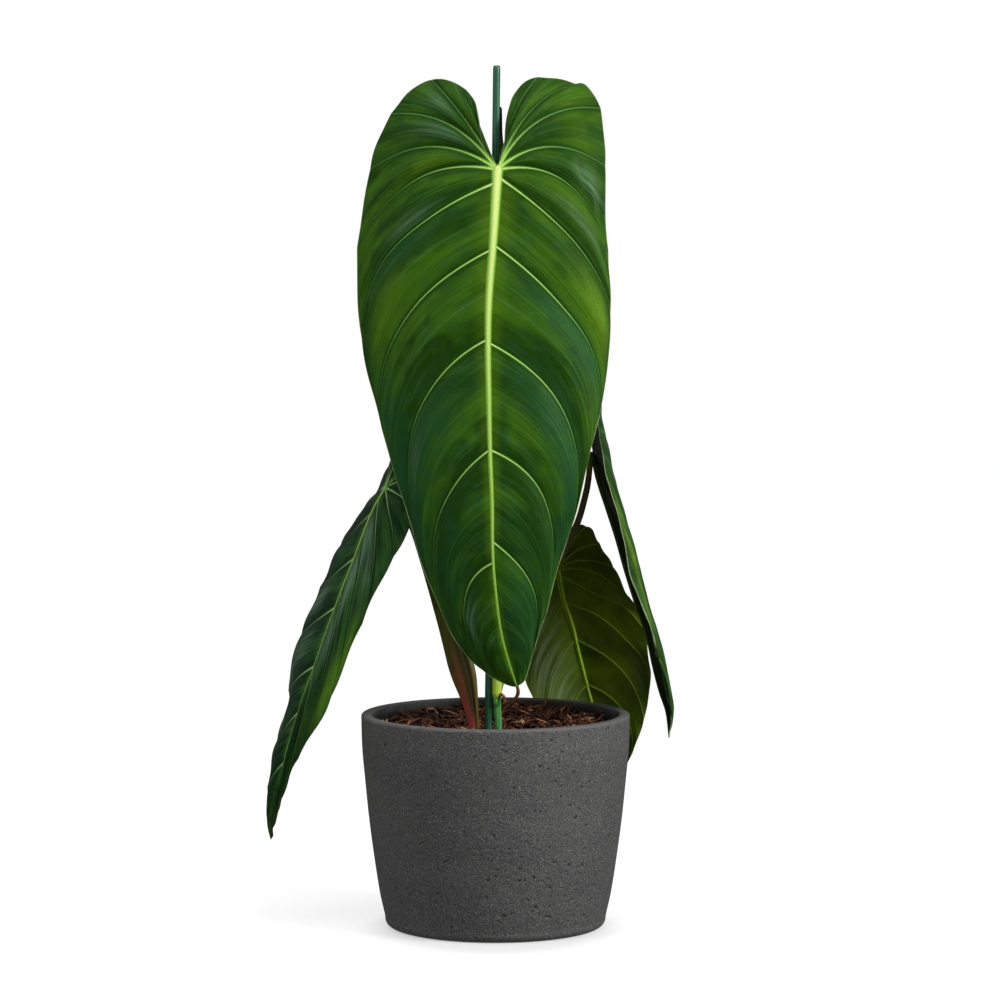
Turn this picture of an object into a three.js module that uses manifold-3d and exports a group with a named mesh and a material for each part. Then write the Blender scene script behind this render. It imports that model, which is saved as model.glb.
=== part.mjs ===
// Potted black gold philodendron: four velvet leaves on a staked stem in a fibre clay pot.
// Millimetres, +Z up, the viewer of the front looks along +Y. Origin: centre of the pot's base.
import * as THREE from "three";
import { mergeVertices } from "three/addons/utils/BufferGeometryUtils.js";
import Module from "manifold-3d";

const wasm = await Module();
wasm.setup();

// Driving dimensions
const GAP = 0.3;
const POT_HEIGHT = 135;
const POT_RIM_RADIUS = 85;
const POT_WALL = 7;
const POT_FLOOR = 9;
const POT_FOOT_RADIUS = 65;
const POT_FOOT_ROUND = 5;
const POT_EDGE_ROUND = 1.8;
const POT_SIDES = 48;
const POT_INNER_BEVEL = 5;
const INNER_LOW_Z = 22;
const INNER_MID_Z = 70;
const SOIL_LEVEL = 125.5;
const SOIL_SIDES = 32;
const SOIL_EDGE_DROP = 2.5;
const SOIL_EDGE_WIDTH = 6;
const SOIL_CROWN = 1;
const CHIP_COUNT = 64;
const CHIP_SEED = 11;
const CHIP_LENGTH = [9, 15];
const CHIP_WIDTH = [2.2, 3.8];
const CHIP_THICKNESS = [1.6, 2.6];
const CHIP_TILT = 0.35;
const CHIP_LIFT = [0.8, 2.2];
const CHIP_CLEAR_OF_WALL = 11;
const BLADE_THICKNESS = 0.8;
const VEIN_REACH = 0.62;
const STAKE_RADIUS = 2.35;
const STAKE_TOP = 543;
const STAKE_FOOT = 22;
const STAKE_LEAN = 5.05;
const STAKE_X_AT_RIM = -4.2;
const ROOT_END_Z = 96;

// Colours and roughness of the surfaces
const FINISH = {
  pot: { color: 0x4a4a4a, roughness: 0.75 },
  soil: { color: 0x5a2f1c, roughness: 0.95 },
  stake: { color: 0x1d5f45, roughness: 0.4 },
  stem: { color: 0x8dbb3a, roughness: 0.5 },
  dry: { color: 0x7d4222, roughness: 0.8 },
  petiole: { color: 0x3c3a14, roughness: 0.55 },
  blade: { color: 0x1f4a1e, roughness: 0.45 },
  bladeDark: { color: 0x1d3a20, roughness: 0.45 },
};

const part = new THREE.Group();

// Adds one named piece with its finish
function addPiece(name, geometry, finish) {
  geometry.computeVertexNormals();
  const material = new THREE.MeshStandardMaterial({ ...finish, metalness: 0 });
  const mesh = new THREE.Mesh(geometry, material);
  mesh.name = name;
  part.add(mesh);
}

// Closed geometry with shared vertices as a solid, and back again
function toSolid(geometry) {
  const bare = geometry.clone();
  bare.deleteAttribute("normal");
  bare.deleteAttribute("uv");
  const merged = mergeVertices(bare, 1e-4);
  const vertProperties = new Float32Array(merged.attributes.position.array);
  const triVerts = new Uint32Array(merged.index.array);
  return new wasm.Manifold(new wasm.Mesh({ numProp: 3, vertProperties, triVerts }));
}

function toGeometry(solid) {
  const mesh = solid.getMesh();
  const geometry = new THREE.BufferGeometry();
  const positions = new Float32Array(mesh.vertProperties);
  geometry.setAttribute("position", new THREE.BufferAttribute(positions, 3));
  geometry.setIndex(new THREE.BufferAttribute(new Uint32Array(mesh.triVerts), 1));
  return geometry;
}

// Seeded draw between 0 and 1, the same on every run
function seededRandom(seed) {
  let state = seed;
  return () => {
    state = (state * 1664525 + 1013904223) % 4294967296;
    return state / 4294967296;
  };
}

function lerp(a, b, f) {
  return a + (b - a) * f;
}

// Value at x between stations [[x, value], ...], held flat outside them
function stationValue(stations, x) {
  if (x <= stations[0][0]) return stations[0][1];
  for (let i = 1; i < stations.length; i += 1) {
    const [x0, v0] = stations[i - 1];
    const [x1, v1] = stations[i];
    if (x <= x1) return lerp(v0, v1, (x - x0) / (x1 - x0));
  }
  return stations[stations.length - 1][1];
}

// Smooth curve through hand-set points, read by its length
class SmoothPath {
  constructor(points, steps = 24) {
    const through = points.map((p) => new THREE.Vector3(p[0], p[1], p[2] ?? 0));
    const last = through.length - 1;
    const before = through[0].clone().multiplyScalar(2).sub(through[1]);
    const after = through[last].clone().multiplyScalar(2).sub(through[last - 1]);
    const all = [before, ...through, after];
    this.samples = [];
    for (let i = 1; i <= last; i += 1) {
      const [p0, p1, p2, p3] = all.slice(i - 1, i + 3);
      const chord = p1.distanceTo(p2);
      const m1 = p2.clone().sub(p0).multiplyScalar(chord / (chord + p0.distanceTo(p1)));
      const m2 = p3.clone().sub(p1).multiplyScalar(chord / (chord + p2.distanceTo(p3)));
      for (let k = 0; k < steps; k += 1) {
        const t = k / steps;
        const point = p1.clone().multiplyScalar(2 * t ** 3 - 3 * t * t + 1);
        point.addScaledVector(m1, t ** 3 - 2 * t * t + t);
        point.addScaledVector(p2, -2 * t ** 3 + 3 * t * t);
        point.addScaledVector(m2, t ** 3 - t * t);
        this.samples.push(point);
      }
    }
    this.samples.push(through[last].clone());
    this.lengths = [0];
    for (let i = 1; i < this.samples.length; i += 1) {
      this.lengths.push(this.lengths[i - 1] + this.samples[i].distanceTo(this.samples[i - 1]));
    }
    this.length = this.lengths[this.lengths.length - 1];
  }

  at(s) {
    const wanted = Math.min(Math.max(s, 0), this.length);
    let i = 1;
    while (i < this.lengths.length - 1 && this.lengths[i] < wanted) i += 1;
    const span = this.lengths[i] - this.lengths[i - 1];
    return this.samples[i - 1].clone().lerp(this.samples[i], (wanted - this.lengths[i - 1]) / span);
  }

  tangent(s) {
    const step = 1;
    const from = Math.min(Math.max(s - step, 0), this.length - 2 * step);
    return this.at(from + 2 * step).sub(this.at(from)).normalize();
  }
}

// Solid swept along a path: section(f, k) gives point k of the section, [across, along facing]
function sweep(path, rows, sectionSize, section, facing = new THREE.Vector3(0, -1, 0)) {
  const positions = [];
  for (let i = 0; i <= rows; i += 1) {
    const f = i / rows;
    const centre = path.at(f * path.length);
    const tangent = path.tangent(f * path.length);
    const out = facing.clone().addScaledVector(tangent, -facing.dot(tangent)).normalize();
    const across = out.clone().cross(tangent);
    for (let k = 0; k < sectionSize; k += 1) {
      const [a, b] = section(f, k);
      positions.push(...centre.clone().addScaledVector(across, a).addScaledVector(out, b).toArray());
    }
  }
  const index = [];
  for (let i = 0; i < rows; i += 1) {
    for (let k = 0; k < sectionSize; k += 1) {
      const a = i * sectionSize + k;
      const b = i * sectionSize + ((k + 1) % sectionSize);
      index.push(a, b, b + sectionSize, a, b + sectionSize, a + sectionSize);
    }
  }
  const contour = [0, rows].map((row) => {
    const points = [];
    for (let k = 0; k < sectionSize; k += 1) points.push(new THREE.Vector2(...section(row / rows, k)));
    return points;
  });
  const top = rows * sectionSize;
  for (const [a, b, c] of THREE.ShapeUtils.triangulateShape(contour[0], [])) index.push(a, c, b);
  for (const [a, b, c] of THREE.ShapeUtils.triangulateShape(contour[1], [])) {
    index.push(top + a, top + b, top + c);
  }
  const geometry = new THREE.BufferGeometry();
  geometry.setAttribute("position", new THREE.Float32BufferAttribute(positions, 3));
  geometry.setIndex(index);
  return outward(geometry);
}

// Turns the triangles over where the closed mesh came out inside out
function outward(geometry) {
  const p = geometry.attributes.position;
  const index = geometry.index.array;
  let volume = 0;
  const [a, b, c] = [new THREE.Vector3(), new THREE.Vector3(), new THREE.Vector3()];
  for (let i = 0; i < index.length; i += 3) {
    a.fromBufferAttribute(p, index[i]);
    b.fromBufferAttribute(p, index[i + 1]);
    c.fromBufferAttribute(p, index[i + 2]);
    volume += a.dot(b.cross(c));
  }
  if (volume < 0) {
    for (let i = 0; i < index.length; i += 3) [index[i], index[i + 1]] = [index[i + 1], index[i]];
  }
  return geometry;
}

// Round stalk whose radius follows stations [fraction of length, radius]
function stalk(points, radii, { sides = 8, rows = 18, grow = 0 } = {}) {
  const path = new SmoothPath(points);
  const section = (f, k) => {
    const angle = (k / sides) * 2 * Math.PI;
    const radius = stationValue(radii, f) + grow;
    return [radius * Math.cos(angle), radius * Math.sin(angle)];
  };
  return sweep(path, rows, sides, section);
}

// Pot: one turned profile with a rounded foot, a slightly bellied wall and a flat rim
const POT_WALL_PROFILE = [
  [70, 6],
  [73.5, 22],
  [77.2, 46],
  [80.2, 69],
  [82.6, 93],
  [84.4, 113],
  [POT_RIM_RADIUS, POT_HEIGHT - POT_EDGE_ROUND],
];

function innerRadius(z) {
  const stations = POT_WALL_PROFILE.map(([r, height]) => [height, r - POT_WALL]);
  return stationValue(stations, z);
}

function roundCorner(r, z, radius, fromAngle, toAngle, steps) {
  const points = [];
  for (let i = 0; i <= steps; i += 1) {
    const angle = lerp(fromAngle, toAngle, i / steps);
    points.push(new THREE.Vector2(r + radius * Math.cos(angle), z + radius * Math.sin(angle)));
  }
  return points;
}

function buildPot() {
  const rimOuter = POT_RIM_RADIUS - POT_EDGE_ROUND;
  const rimInner = POT_RIM_RADIUS - POT_WALL + POT_EDGE_ROUND;
  const rimCentre = POT_HEIGHT - POT_EDGE_ROUND;
  const quarter = Math.PI / 2;
  const profile = [
    new THREE.Vector2(0, 0),
    ...roundCorner(POT_FOOT_RADIUS, POT_FOOT_ROUND, POT_FOOT_ROUND, -quarter, -0.12, 3),
    ...POT_WALL_PROFILE.slice(0, -1).map(([r, z]) => new THREE.Vector2(r, z)),
    ...roundCorner(rimOuter, rimCentre, POT_EDGE_ROUND, 0, quarter, 3),
    ...roundCorner(rimInner, rimCentre, POT_EDGE_ROUND, quarter, 2 * quarter, 3),
    new THREE.Vector2(innerRadius(SOIL_LEVEL), SOIL_LEVEL),
    new THREE.Vector2(innerRadius(INNER_MID_Z), INNER_MID_Z),
    new THREE.Vector2(innerRadius(INNER_LOW_Z), POT_FLOOR + POT_INNER_BEVEL),
    new THREE.Vector2(innerRadius(INNER_LOW_Z) - POT_INNER_BEVEL, POT_FLOOR),
    new THREE.Vector2(0, POT_FLOOR),
  ];
  const turned = new THREE.LatheGeometry(profile, POT_SIDES);
  turned.rotateX(quarter);
  return outward(toGeometry(toSolid(turned)));
}

// Stem, stake, petioles and roots: routes by hand, radii by stations along the route
const STAKE_SLOPE = STAKE_LEAN / (STAKE_TOP - POT_HEIGHT);

function stakeX(z) {
  return STAKE_X_AT_RIM + STAKE_SLOPE * (z - POT_HEIGHT);
}

const STAKE_ROUTE = [
  [stakeX(STAKE_FOOT), 0, STAKE_FOOT],
  [stakeX(280), 0, 280],
  [stakeX(STAKE_TOP), 0, STAKE_TOP],
];
const STAKE_RADII = [[0, STAKE_RADIUS], [1, STAKE_RADIUS]];
const STAKE_FORM = { sides: 12, rows: 3 };

const STEM_ROUTE = [
  [2.9, -1.4, ROOT_END_Z],
  [2.7, -1.4, 112],
  [2.2, -1.6, 129],
  [1.6, -2.3, 139],
  [1.25, -2.9, 147.5],
  [1.3, -2.9, 160],
  [2.3, -1.6, 178],
  [3.2, -0.6, 198],
];
const STEM_FORM = { sides: 10, rows: 20 };
const BUD_SIZE = [1.6, 1.6, 3.2];
const BUD_PLACE = [0.2, -3.9, 142.8];
const BUD_LEAN = -0.12;
const STEM_RADII = [
  [0, 1.95], [0.43, 1.95], [0.47, 2.8], [0.52, 3.05], [0.8, 3.1], [0.97, 3.0], [1, 2.0],
];

const PETIOLES = {
  main: {
    route: [
      [3.2, 1.5, 186],
      [3.0, 6.5, 206],
      [2.2, 9.4, 300],
      [1.8, 10, 420],
      [1.8, 10, 505],
      [1.8, 9.7, 518],
      [1.9, 7.4, 523],
      [2.1, 5.1, 517],
      [2.4, 4.7, 502],
      [3.7, 4.3, 490],
      [5.5, 1.4, 483.5],
      [5.4, -3.6, 479.6],
      [3.5, -8.4, 479],
    ],
    radii: [[0, 3], [0.2, 2.7], [0.8, 2.3], [1, 2]],
    rows: 34,
  },
  right: {
    route: [
      [2.4, -1.5, 172],
      [13, -0.5, 188],
      [31, 3, 217],
      [50.5, 6.5, 252],
      [57, 8, 273],
      [59.4, 8.8, 288],
    ],
    radii: [[0, 2.8], [0.3, 2.3], [0.85, 2.0], [1, 1.8]],
    rows: 20,
  },
  back: {
    route: [
      [1.6, -2.6, 150],
      [6, 9, 166],
      [18, 32, 204],
      [29, 50, 225],
      [36, 60, 227.5],
    ],
    radii: [[0, 2.8], [0.3, 2.3], [0.85, 2.0], [1, 1.8]],
    rows: 20,
  },
};

// Left petiole: its open sheath is a wide trough above the soil, round further up
const SHEATH_ROUTE = [
  [-13.5, -6, ROOT_END_Z],
  [-13.6, -5, 124],
  [-17, -4, 144],
  [-21.6, -2, 161],
  [-30, 1, 188],
  [-37, 4, 207],
  [-44.6, 8, 229],
  [-52, 12.5, 251],
  [-60.5, 17.5, 270],
  [-65, 20, 278],
];
const SHEATH_HALF_WIDTH = [
  [0, 3.4], [0.15, 3.9], [0.25, 7.2], [0.34, 10], [0.48, 8], [0.6, 5.5], [0.7, 4], [0.83, 3],
  [1, 2.2],
];
const SHEATH_OPEN = [[0, 0.25], [0.2, 0.75], [0.34, 1], [0.5, 0.9], [0.7, 0.5], [0.85, 0]];
const SHEATH_STALK_RADIUS = 2.4;
const SHEATH_WALL = 1.3;
const SHEATH_POINTS = 14;
const SHEATH_ROWS = 22;

function sheathSection(f, k) {
  const half = SHEATH_POINTS / 2;
  const width = stationValue(SHEATH_HALF_WIDTH, f);
  const open = stationValue(SHEATH_OPEN, f);
  const angle = ((k + 0.5) / SHEATH_POINTS) * 2 * Math.PI;
  const radius = Math.min(SHEATH_STALK_RADIUS, width);
  const round = [radius * Math.cos(angle), radius * Math.sin(angle)];
  const outer = k < half;
  const along = outer ? k / (half - 1) : (SHEATH_POINTS - 1 - k) / (half - 1);
  const bend = lerp(0, Math.PI, along);
  const wall = SHEATH_WALL * (0.45 + 0.75 * Math.sin(bend));
  const reach = width - (outer ? 0 : wall * 0.8);
  const depth = width * 0.62 - (outer ? 0 : wall);
  const trough = [reach * Math.cos(bend), depth * Math.sin(bend) - width * 0.3];
  return [lerp(round[0], trough[0], open), lerp(round[1], trough[1], open)];
}

const SHEATH_FACING = new THREE.Vector3(-0.55, -0.83, 0.1);

const AERIAL_ROOT_ROUTE = [
  [2.2, -2.6, 158],
  [8.4, -2.2, 158.5],
  [12.8, -1.2, 154],
  [14.2, 0.4, 147.5],
  [11.2, 3, 142.6],
  [6.8, 5.4, 138.6],
  [4.2, 7.2, 134],
  [3.8, 8.2, 124],
  [3.6, 8.4, ROOT_END_Z + 8],
];
const AERIAL_ROOT_FORM = { sides: 6, rows: 18 };
const AERIAL_ROOT_RADII = [[0, 1.3], [0.15, 1.1], [0.7, 0.95], [1, 0.8]];

const SCALE_ROUTE = [
  [1.8, -4.2, 146],
  [4, -6, 147.2],
  [5.8, -6.4, 145.4],
  [5.7, -6.6, 142.6],
  [4.3, -6.6, 141.6],
];
const SCALE_RADII = [[0, 1.1], [0.4, 0.95], [0.8, 0.8], [1, 0.45]];

// Leaf blades
// Flat outlines: [along the midrib from the sinus, out from the midrib], lobes at negative along
const MAIN_RIGHT_OUTLINE = [
  [0, 0], [-2.6, 1.3], [-8, 2.3], [-15, 3.1], [-24, 3], [-33, 3.4], [-42, 4.8], [-50, 7],
  [-62, 15], [-66, 30], [-65, 45], [-66, 51], [-54, 62], [-22, 68], [19, 71], [70, 78],
  [130, 77], [173, 67], [229, 50], [292, 28], [323, 10],
];
const MAIN_LEFT_OUTLINE = [
  [0, 0], [-3.9, 3.7], [-10.2, 8.2], [-18, 11.3], [-25, 12.6], [-32, 13.8], [-46, 18],
  [-59, 30], [-64, 46], [-61, 55], [-53, 66], [-24, 81], [11, 87], [54, 91], [97, 86],
  [156, 74], [214, 57], [267, 41], [295, 31], [316, 18],
];
const SMALL_LOBE = [[0, 0], [-9, 2], [-22, 3], [-34, 7], [-42, 15], [-44, 26], [-39, 36]];

// Veins: where each leaves the midrib, its angle to the midrib, and where it meets the margin,
// as a fraction of the margin's length from the sinus round the lobe to the tip
const LOBE_VEINS = [
  { angle: 160, end: 0.135 },
  { angle: 152, end: 0.185 },
  { angle: 143, end: 0.245 },
  { angle: 126, end: 0.32 },
  { angle: 103, end: 0.42 },
];
const BLADE_VEINS = [
  { origin: 0.03, angle: 60, end: 0.52 },
  { origin: 0.165, angle: 60, end: 0.65 },
  { origin: 0.345, angle: 61, end: 0.79 },
  { origin: 0.55, angle: 61, end: 0.895 },
  { origin: 0.74, angle: 57, end: 0.958 },
];
const SINUS_END = 0.075;

const LEAVES = {
  main: {
    axis: [
      [1.6, -15.6, 480.2], [-0.8, -30, 440.3], [-3.9, -42, 397.2], [-4.5, -48, 370.9],
      [-3.9, -54, 336], [-3.3, -57, 305.3], [-2, -59, 274.6], [-1.4, -59, 237.5],
      [1.7, -56, 206.2], [4.8, -54, 187.4], [11.5, -49, 159.4],
    ],
    facing: [-0.06, -1, 0],
    lobeBend: 0.004,
    outline: { right: MAIN_RIGHT_OUTLINE, left: MAIN_LEFT_OUTLINE },
    fold: { right: [[-0.2, 4], [0, 8], [1, 9]], left: [[-0.2, 4], [0, 4], [1, 9]] },
    curl: { right: [[0, 25], [1, 28]], left: [[0, 25], [1, 28]] },
    quilt: 2.0,
    rib: 3.2,
    ripple: 0.8,
    finish: FINISH.blade,
    rowsPerVein: 4,
  },
  left: {
    axis: [
      [-69, 22, 278], [-78, 20, 262], [-90, 16, 231], [-102, 12, 200], [-118, 8, 155],
      [-126.5, 6, 130], [-134, 6, 104], [-139.5, 7, 78], [-143, 8, 53],
    ],
    facing: [-0.906, -0.42, 0.1],
    lobeBend: 0.004,
    outline: {
      right: [...SMALL_LOBE, [-20, 43], [5, 47], [30, 46.2], [61, 39], [87, 36.5], [118, 32.8],
        [148, 29.8], [170, 21.8], [193, 12], [212, 5.5], [229, 2.8]],
      left: [...SMALL_LOBE, [-20, 42], [5, 45], [30, 45], [61, 43], [90, 41], [118, 38], [140, 35],
        [150, 29], [176, 24], [200, 16], [223, 7]],
    },
    fold: {
      right: [[0, 4], [1, 4]],
      left: [
        [-0.1, 14], [0.03, 20.8], [0.1, 13], [0.16, 7], [0.22, 5.2], [0.28, 4.2], [0.36, 2.2],
        [0.45, 0], [0.52, -1.8], [0.57, -1], [0.62, 5.8], [0.68, 6.5], [0.76, 4], [0.84, -1.5],
        [0.92, -16], [1, -30],
      ],
    },
    curl: { right: [[0, 20], [1, 20]], left: [[0, 10], [1, 10]] },
    quilt: 1.6,
    rib: 2.6,
    ripple: 1.2,
    finish: FINISH.bladeDark,
    rowsPerVein: 3,
  },
  right: {
    axis: [
      [61.6, 9, 300.5], [65.4, 10, 282.8], [71, 11, 265], [77, 12, 246], [83, 13, 224],
      [90.4, 14, 200], [96.2, 14, 183], [100.6, 14, 162], [104.4, 14, 147], [108.6, 14, 134],
      [110.6, 14, 117.3],
    ],
    facing: [1, 0, 0.1],
    lobeBend: -0.006,
    outline: {
      right: [[0, 0], [-9, 2], [-20, 3], [-30, 7], [-36, 15], [-38, 25], [-33, 34], [-18, 38],
        [0, 39], [31, 40], [60, 39], [91, 37], [112, 33], [130, 28], [150, 21], [168, 14], [182, 6]],
      left: [...SMALL_LOBE, [-20, 36], [0, 36], [35, 36], [60, 35], [87, 32], [112, 26], [133, 19],
        [150, 14], [168, 9], [181, 4.5]],
    },
    fold: {
      right: [
        [-0.2, -20], [-0.1, -15], [0.03, -18], [0.1, -17], [0.2, -14.5], [0.3, -13.5],
        [0.41, -16.5], [0.54, -14.5], [0.64, -14], [0.75, -23], [0.83, -26], [1, -25],
      ],
      left: [
        [-0.2, -9], [0.06, -9.5], [0.15, -11], [0.24, -8.5], [0.31, -6.5], [0.42, -3.5],
        [0.5, -8], [0.66, -8.5], [0.72, -11], [0.8, -26], [0.88, -24], [1, -19],
      ],
    },
    curl: { right: [[0, 8], [1, 8]], left: [[0, 8], [1, 8]] },
    quilt: 1.4,
    rib: 2.4,
    ripple: 1.2,
    finish: FINISH.bladeDark,
    rowsPerVein: 3,
  },
  back: {
    axis: [
      [40, 70, 221], [44, 80, 200], [50, 88, 182], [55, 95, 161], [63, 104, 130], [70, 110, 103],
      [77, 112, 73],
    ],
    facing: [0.25, 1, 0.1],
    lobeBend: 0.004,
    outline: {
      right: [...SMALL_LOBE, [-20, 40], [5, 42], [35, 42], [65, 41], [90, 37], [112, 29], [135, 18],
        [150, 8]],
      left: [[0, 0], [-9, 2], [-20, 4], [-30, 11], [-34, 19], [-32, 28], [-20, 32.6], [-4, 37.8],
        [15, 44.6], [46, 49], [70, 48], [87, 46], [103, 40], [118, 33], [132, 25], [145, 16], [154, 6]],
    },
    fold: { right: [[0, 36], [1, 26]], left: [[0, 5], [1, 8]] },
    curl: { right: [[0, 15], [1, 15]], left: [[0, 12], [1, 15]] },
    quilt: 1.4,
    rib: 2.4,
    ripple: 1.0,
    finish: FINISH.bladeDark,
    rowsPerVein: 3,
  },
};

const SEAT_REACH = 24;
const ACROSS = [0, 0.045, 0.16, 0.32, 0.5, 0.68, 0.85, 1];
const DEGREE = Math.PI / 180;

// A blade bent from its flat outline along its midrib, folded and curled at each side
class Blade {
  constructor(leaf) {
    this.leaf = leaf;
    this.axis = new SmoothPath(leaf.axis, 40);
    this.facing = new THREE.Vector3(...leaf.facing).normalize();
    this.margins = {};
    for (const side of ["right", "left"]) {
      this.margins[side] = new SmoothPath([...leaf.outline[side], [this.axis.length, 0]]);
    }
    this.veins = [
      { origin: 0, end: SINUS_END, sinus: true },
      ...LOBE_VEINS.map((vein) => ({ origin: 0, ...vein })),
      ...BLADE_VEINS,
      { origin: 1, end: 1, tip: true },
    ];
  }

  frame(s) {
    const tangent = this.axis.tangent(Math.max(s, 0));
    const normal = this.facing.clone().addScaledVector(tangent, -this.facing.dot(tangent)).normalize();
    const across = normal.clone().cross(tangent);
    const centre = this.axis.at(Math.max(s, 0));
    if (s < 0) {
      const bend = this.leaf.lobeBend;
      centre.addScaledVector(tangent, s).addScaledVector(normal, (-bend * s * s) / 2);
      tangent.addScaledVector(normal, -bend * s).normalize();
      normal.copy(tangent).cross(across).normalize();
    }
    return { centre, normal, across };
  }

  // Point and upper normal of the smooth sheet at the flat place (s, u)
  surface(side, s, u) {
    const { centre, normal, across } = this.frame(s);
    const f = s / this.axis.length;
    const fold = stationValue(this.leaf.fold[side], f) * DEGREE;
    const curl = (stationValue(this.leaf.curl[side], f) * DEGREE) / 100;
    const angle = fold + curl * u;
    const sign = side === "right" ? 1 : -1;
    const out = (Math.sin(angle) - Math.sin(fold)) / curl;
    const drop = (Math.cos(angle) - Math.cos(fold)) / curl;
    const point = centre.addScaledVector(across, sign * out).addScaledVector(normal, drop);
    const up = normal.multiplyScalar(Math.cos(angle)).addScaledVector(across, sign * Math.sin(angle));
    return { point, up };
  }

  // Flat place on one vein, v from the midrib to the margin
  onVein(side, vein, v) {
    const margin = this.margins[side];
    const end = margin.at(vein.end * margin.length);
    if (vein.sinus) return margin.at(vein.end * margin.length * v);
    if (vein.tip) return end;
    const start = new THREE.Vector3(vein.origin * this.axis.length, 0, 0);
    const reach = VEIN_REACH * start.distanceTo(end);
    const turn = vein.angle * DEGREE;
    const knee = start.clone().add(new THREE.Vector3(reach * Math.cos(turn), reach * Math.sin(turn), 0));
    start.multiplyScalar((1 - v) ** 2);
    return start.addScaledVector(knee, 2 * v * (1 - v)).addScaledVector(end, v * v);
  }

  // Flat place between veins i and i + 1, drawn to the margin so that the outline stays true
  place(side, i, f, v) {
    const first = this.veins[i];
    if (f === 0) return this.onVein(side, first, v);
    const second = this.veins[i + 1];
    const margin = this.margins[side];
    const between = this.onVein(side, first, v).lerp(this.onVein(side, second, v), f);
    const reach = margin.length;
    const straight = margin.at(first.end * reach).lerp(margin.at(second.end * reach), f);
    const end = margin.at(lerp(first.end, second.end, f) * reach);
    return between.addScaledVector(end.sub(straight), v * v);
  }

  // Height of the quilted swell and of the rippled margin over the smooth sheet
  relief(i, f, v) {
    const swell = this.leaf.quilt * Math.sin(Math.PI * f) * Math.sin(Math.PI * Math.min(1, v ** 0.8));
    const ripple = this.leaf.ripple * v ** 4 * Math.sin(Math.PI * (2 * f + i));
    return swell + ripple;
  }

  // Closed mesh of the blade, its rib swollen on the underside
  geometry() {
    const positions = [];
    const index = [];
    const seen = new Map();
    const rows = this.rows();
    const vertex = (side, row, j, top) => {
      const shared = j === 0 || row.tip;
      const place = this.place(side, row.i, row.f, ACROSS[j]);
      const spot = shared ? "rib" : `${side}:${place.y.toFixed(3)}`;
      const name = `${spot}:${place.x.toFixed(3)}:${top}`;
      if (seen.has(name)) return seen.get(name);
      const { point, up } = this.surface(side, place.x, Math.max(place.y, 0));
      const height = shared ? 0 : this.relief(row.i, row.f, ACROSS[j]);
      const rib = j === 0 ? this.leaf.rib * (1 - 0.9 * (place.x / this.axis.length)) : 0;
      const half = BLADE_THICKNESS / 2;
      const below = row.tip ? half : Math.max(half, rib);
      point.addScaledVector(up, height + (top ? half : -below));
      seen.set(name, positions.length / 3);
      positions.push(...point.toArray());
      return seen.get(name);
    };
    const triangle = (a, b, c) => {
      if (a !== b && b !== c && a !== c) index.push(a, b, c);
    };
    const quad = (a, b, c, d, flip) => {
      if (flip) {
        triangle(a, c, b);
        triangle(a, d, c);
      } else {
        triangle(a, b, c);
        triangle(a, c, d);
      }
    };
    for (const side of ["right", "left"]) {
      const mirrored = side === "left";
      const last = ACROSS.length - 1;
      for (let r = 0; r < rows.length - 1; r += 1) {
        for (let j = 0; j < last; j += 1) {
          for (const top of [true, false]) {
            const a = vertex(side, rows[r], j, top);
            const b = vertex(side, rows[r], j + 1, top);
            const c = vertex(side, rows[r + 1], j + 1, top);
            const d = vertex(side, rows[r + 1], j, top);
            quad(a, b, c, d, top === mirrored);
          }
        }
        const [nearRow, farRow] = [rows[r], rows[r + 1]];
        quad(
          vertex(side, nearRow, last, true),
          vertex(side, nearRow, last, false),
          vertex(side, farRow, last, false),
          vertex(side, farRow, last, true),
          mirrored,
        );
      }
      for (let j = 0; j < last; j += 1) {
        quad(
          vertex(side, rows[0], j, true),
          vertex(side, rows[0], j, false),
          vertex(side, rows[0], j + 1, false),
          vertex(side, rows[0], j + 1, true),
          mirrored,
        );
      }
    }
    const geometry = new THREE.BufferGeometry();
    geometry.setAttribute("position", new THREE.Float32BufferAttribute(positions, 3));
    geometry.setIndex(index);
    return outward(geometry);
  }

  // The room over the swollen end of the rib, which a stalk from below leaves free
  seat() {
    const { centre, normal, across } = this.frame(0);
    const place = new THREE.Matrix4().makeBasis(across, this.axis.tangent(0).negate(), normal);
    place.setPosition(centre);
    const above = new THREE.BoxGeometry(SEAT_REACH, SEAT_REACH, SEAT_REACH);
    above.translate(0, 0, SEAT_REACH / 2 - this.leaf.rib - 1.2 * GAP);
    return toSolid(above.applyMatrix4(place));
  }

  // Just inside the rib under the sinus: where a stalk's route ends before it is cut to its seat
  stalkEnd() {
    const { centre, normal } = this.frame(0);
    return centre.addScaledVector(normal, GAP - this.leaf.rib).toArray();
  }

  // Rows of the mesh from the sinus round the lobe and down to the tip
  rows() {
    const rows = [];
    for (let i = 0; i < this.veins.length - 1; i += 1) {
      const lobed = this.veins[i + 1].origin === 0;
      const steps = lobed ? 2 : this.leaf.rowsPerVein;
      for (let k = 0; k < steps; k += 1) rows.push({ i, f: k / steps });
    }
    rows.push({ i: this.veins.length - 1, f: 0, tip: true });
    return rows;
  }
}

// Soil: a filled body with coir shreds fused to its top and plain holes for what stands in it
const SOIL_FOOT = POT_FLOOR + GAP;
const SOIL_CLEARANCE = 0.7;

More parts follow.
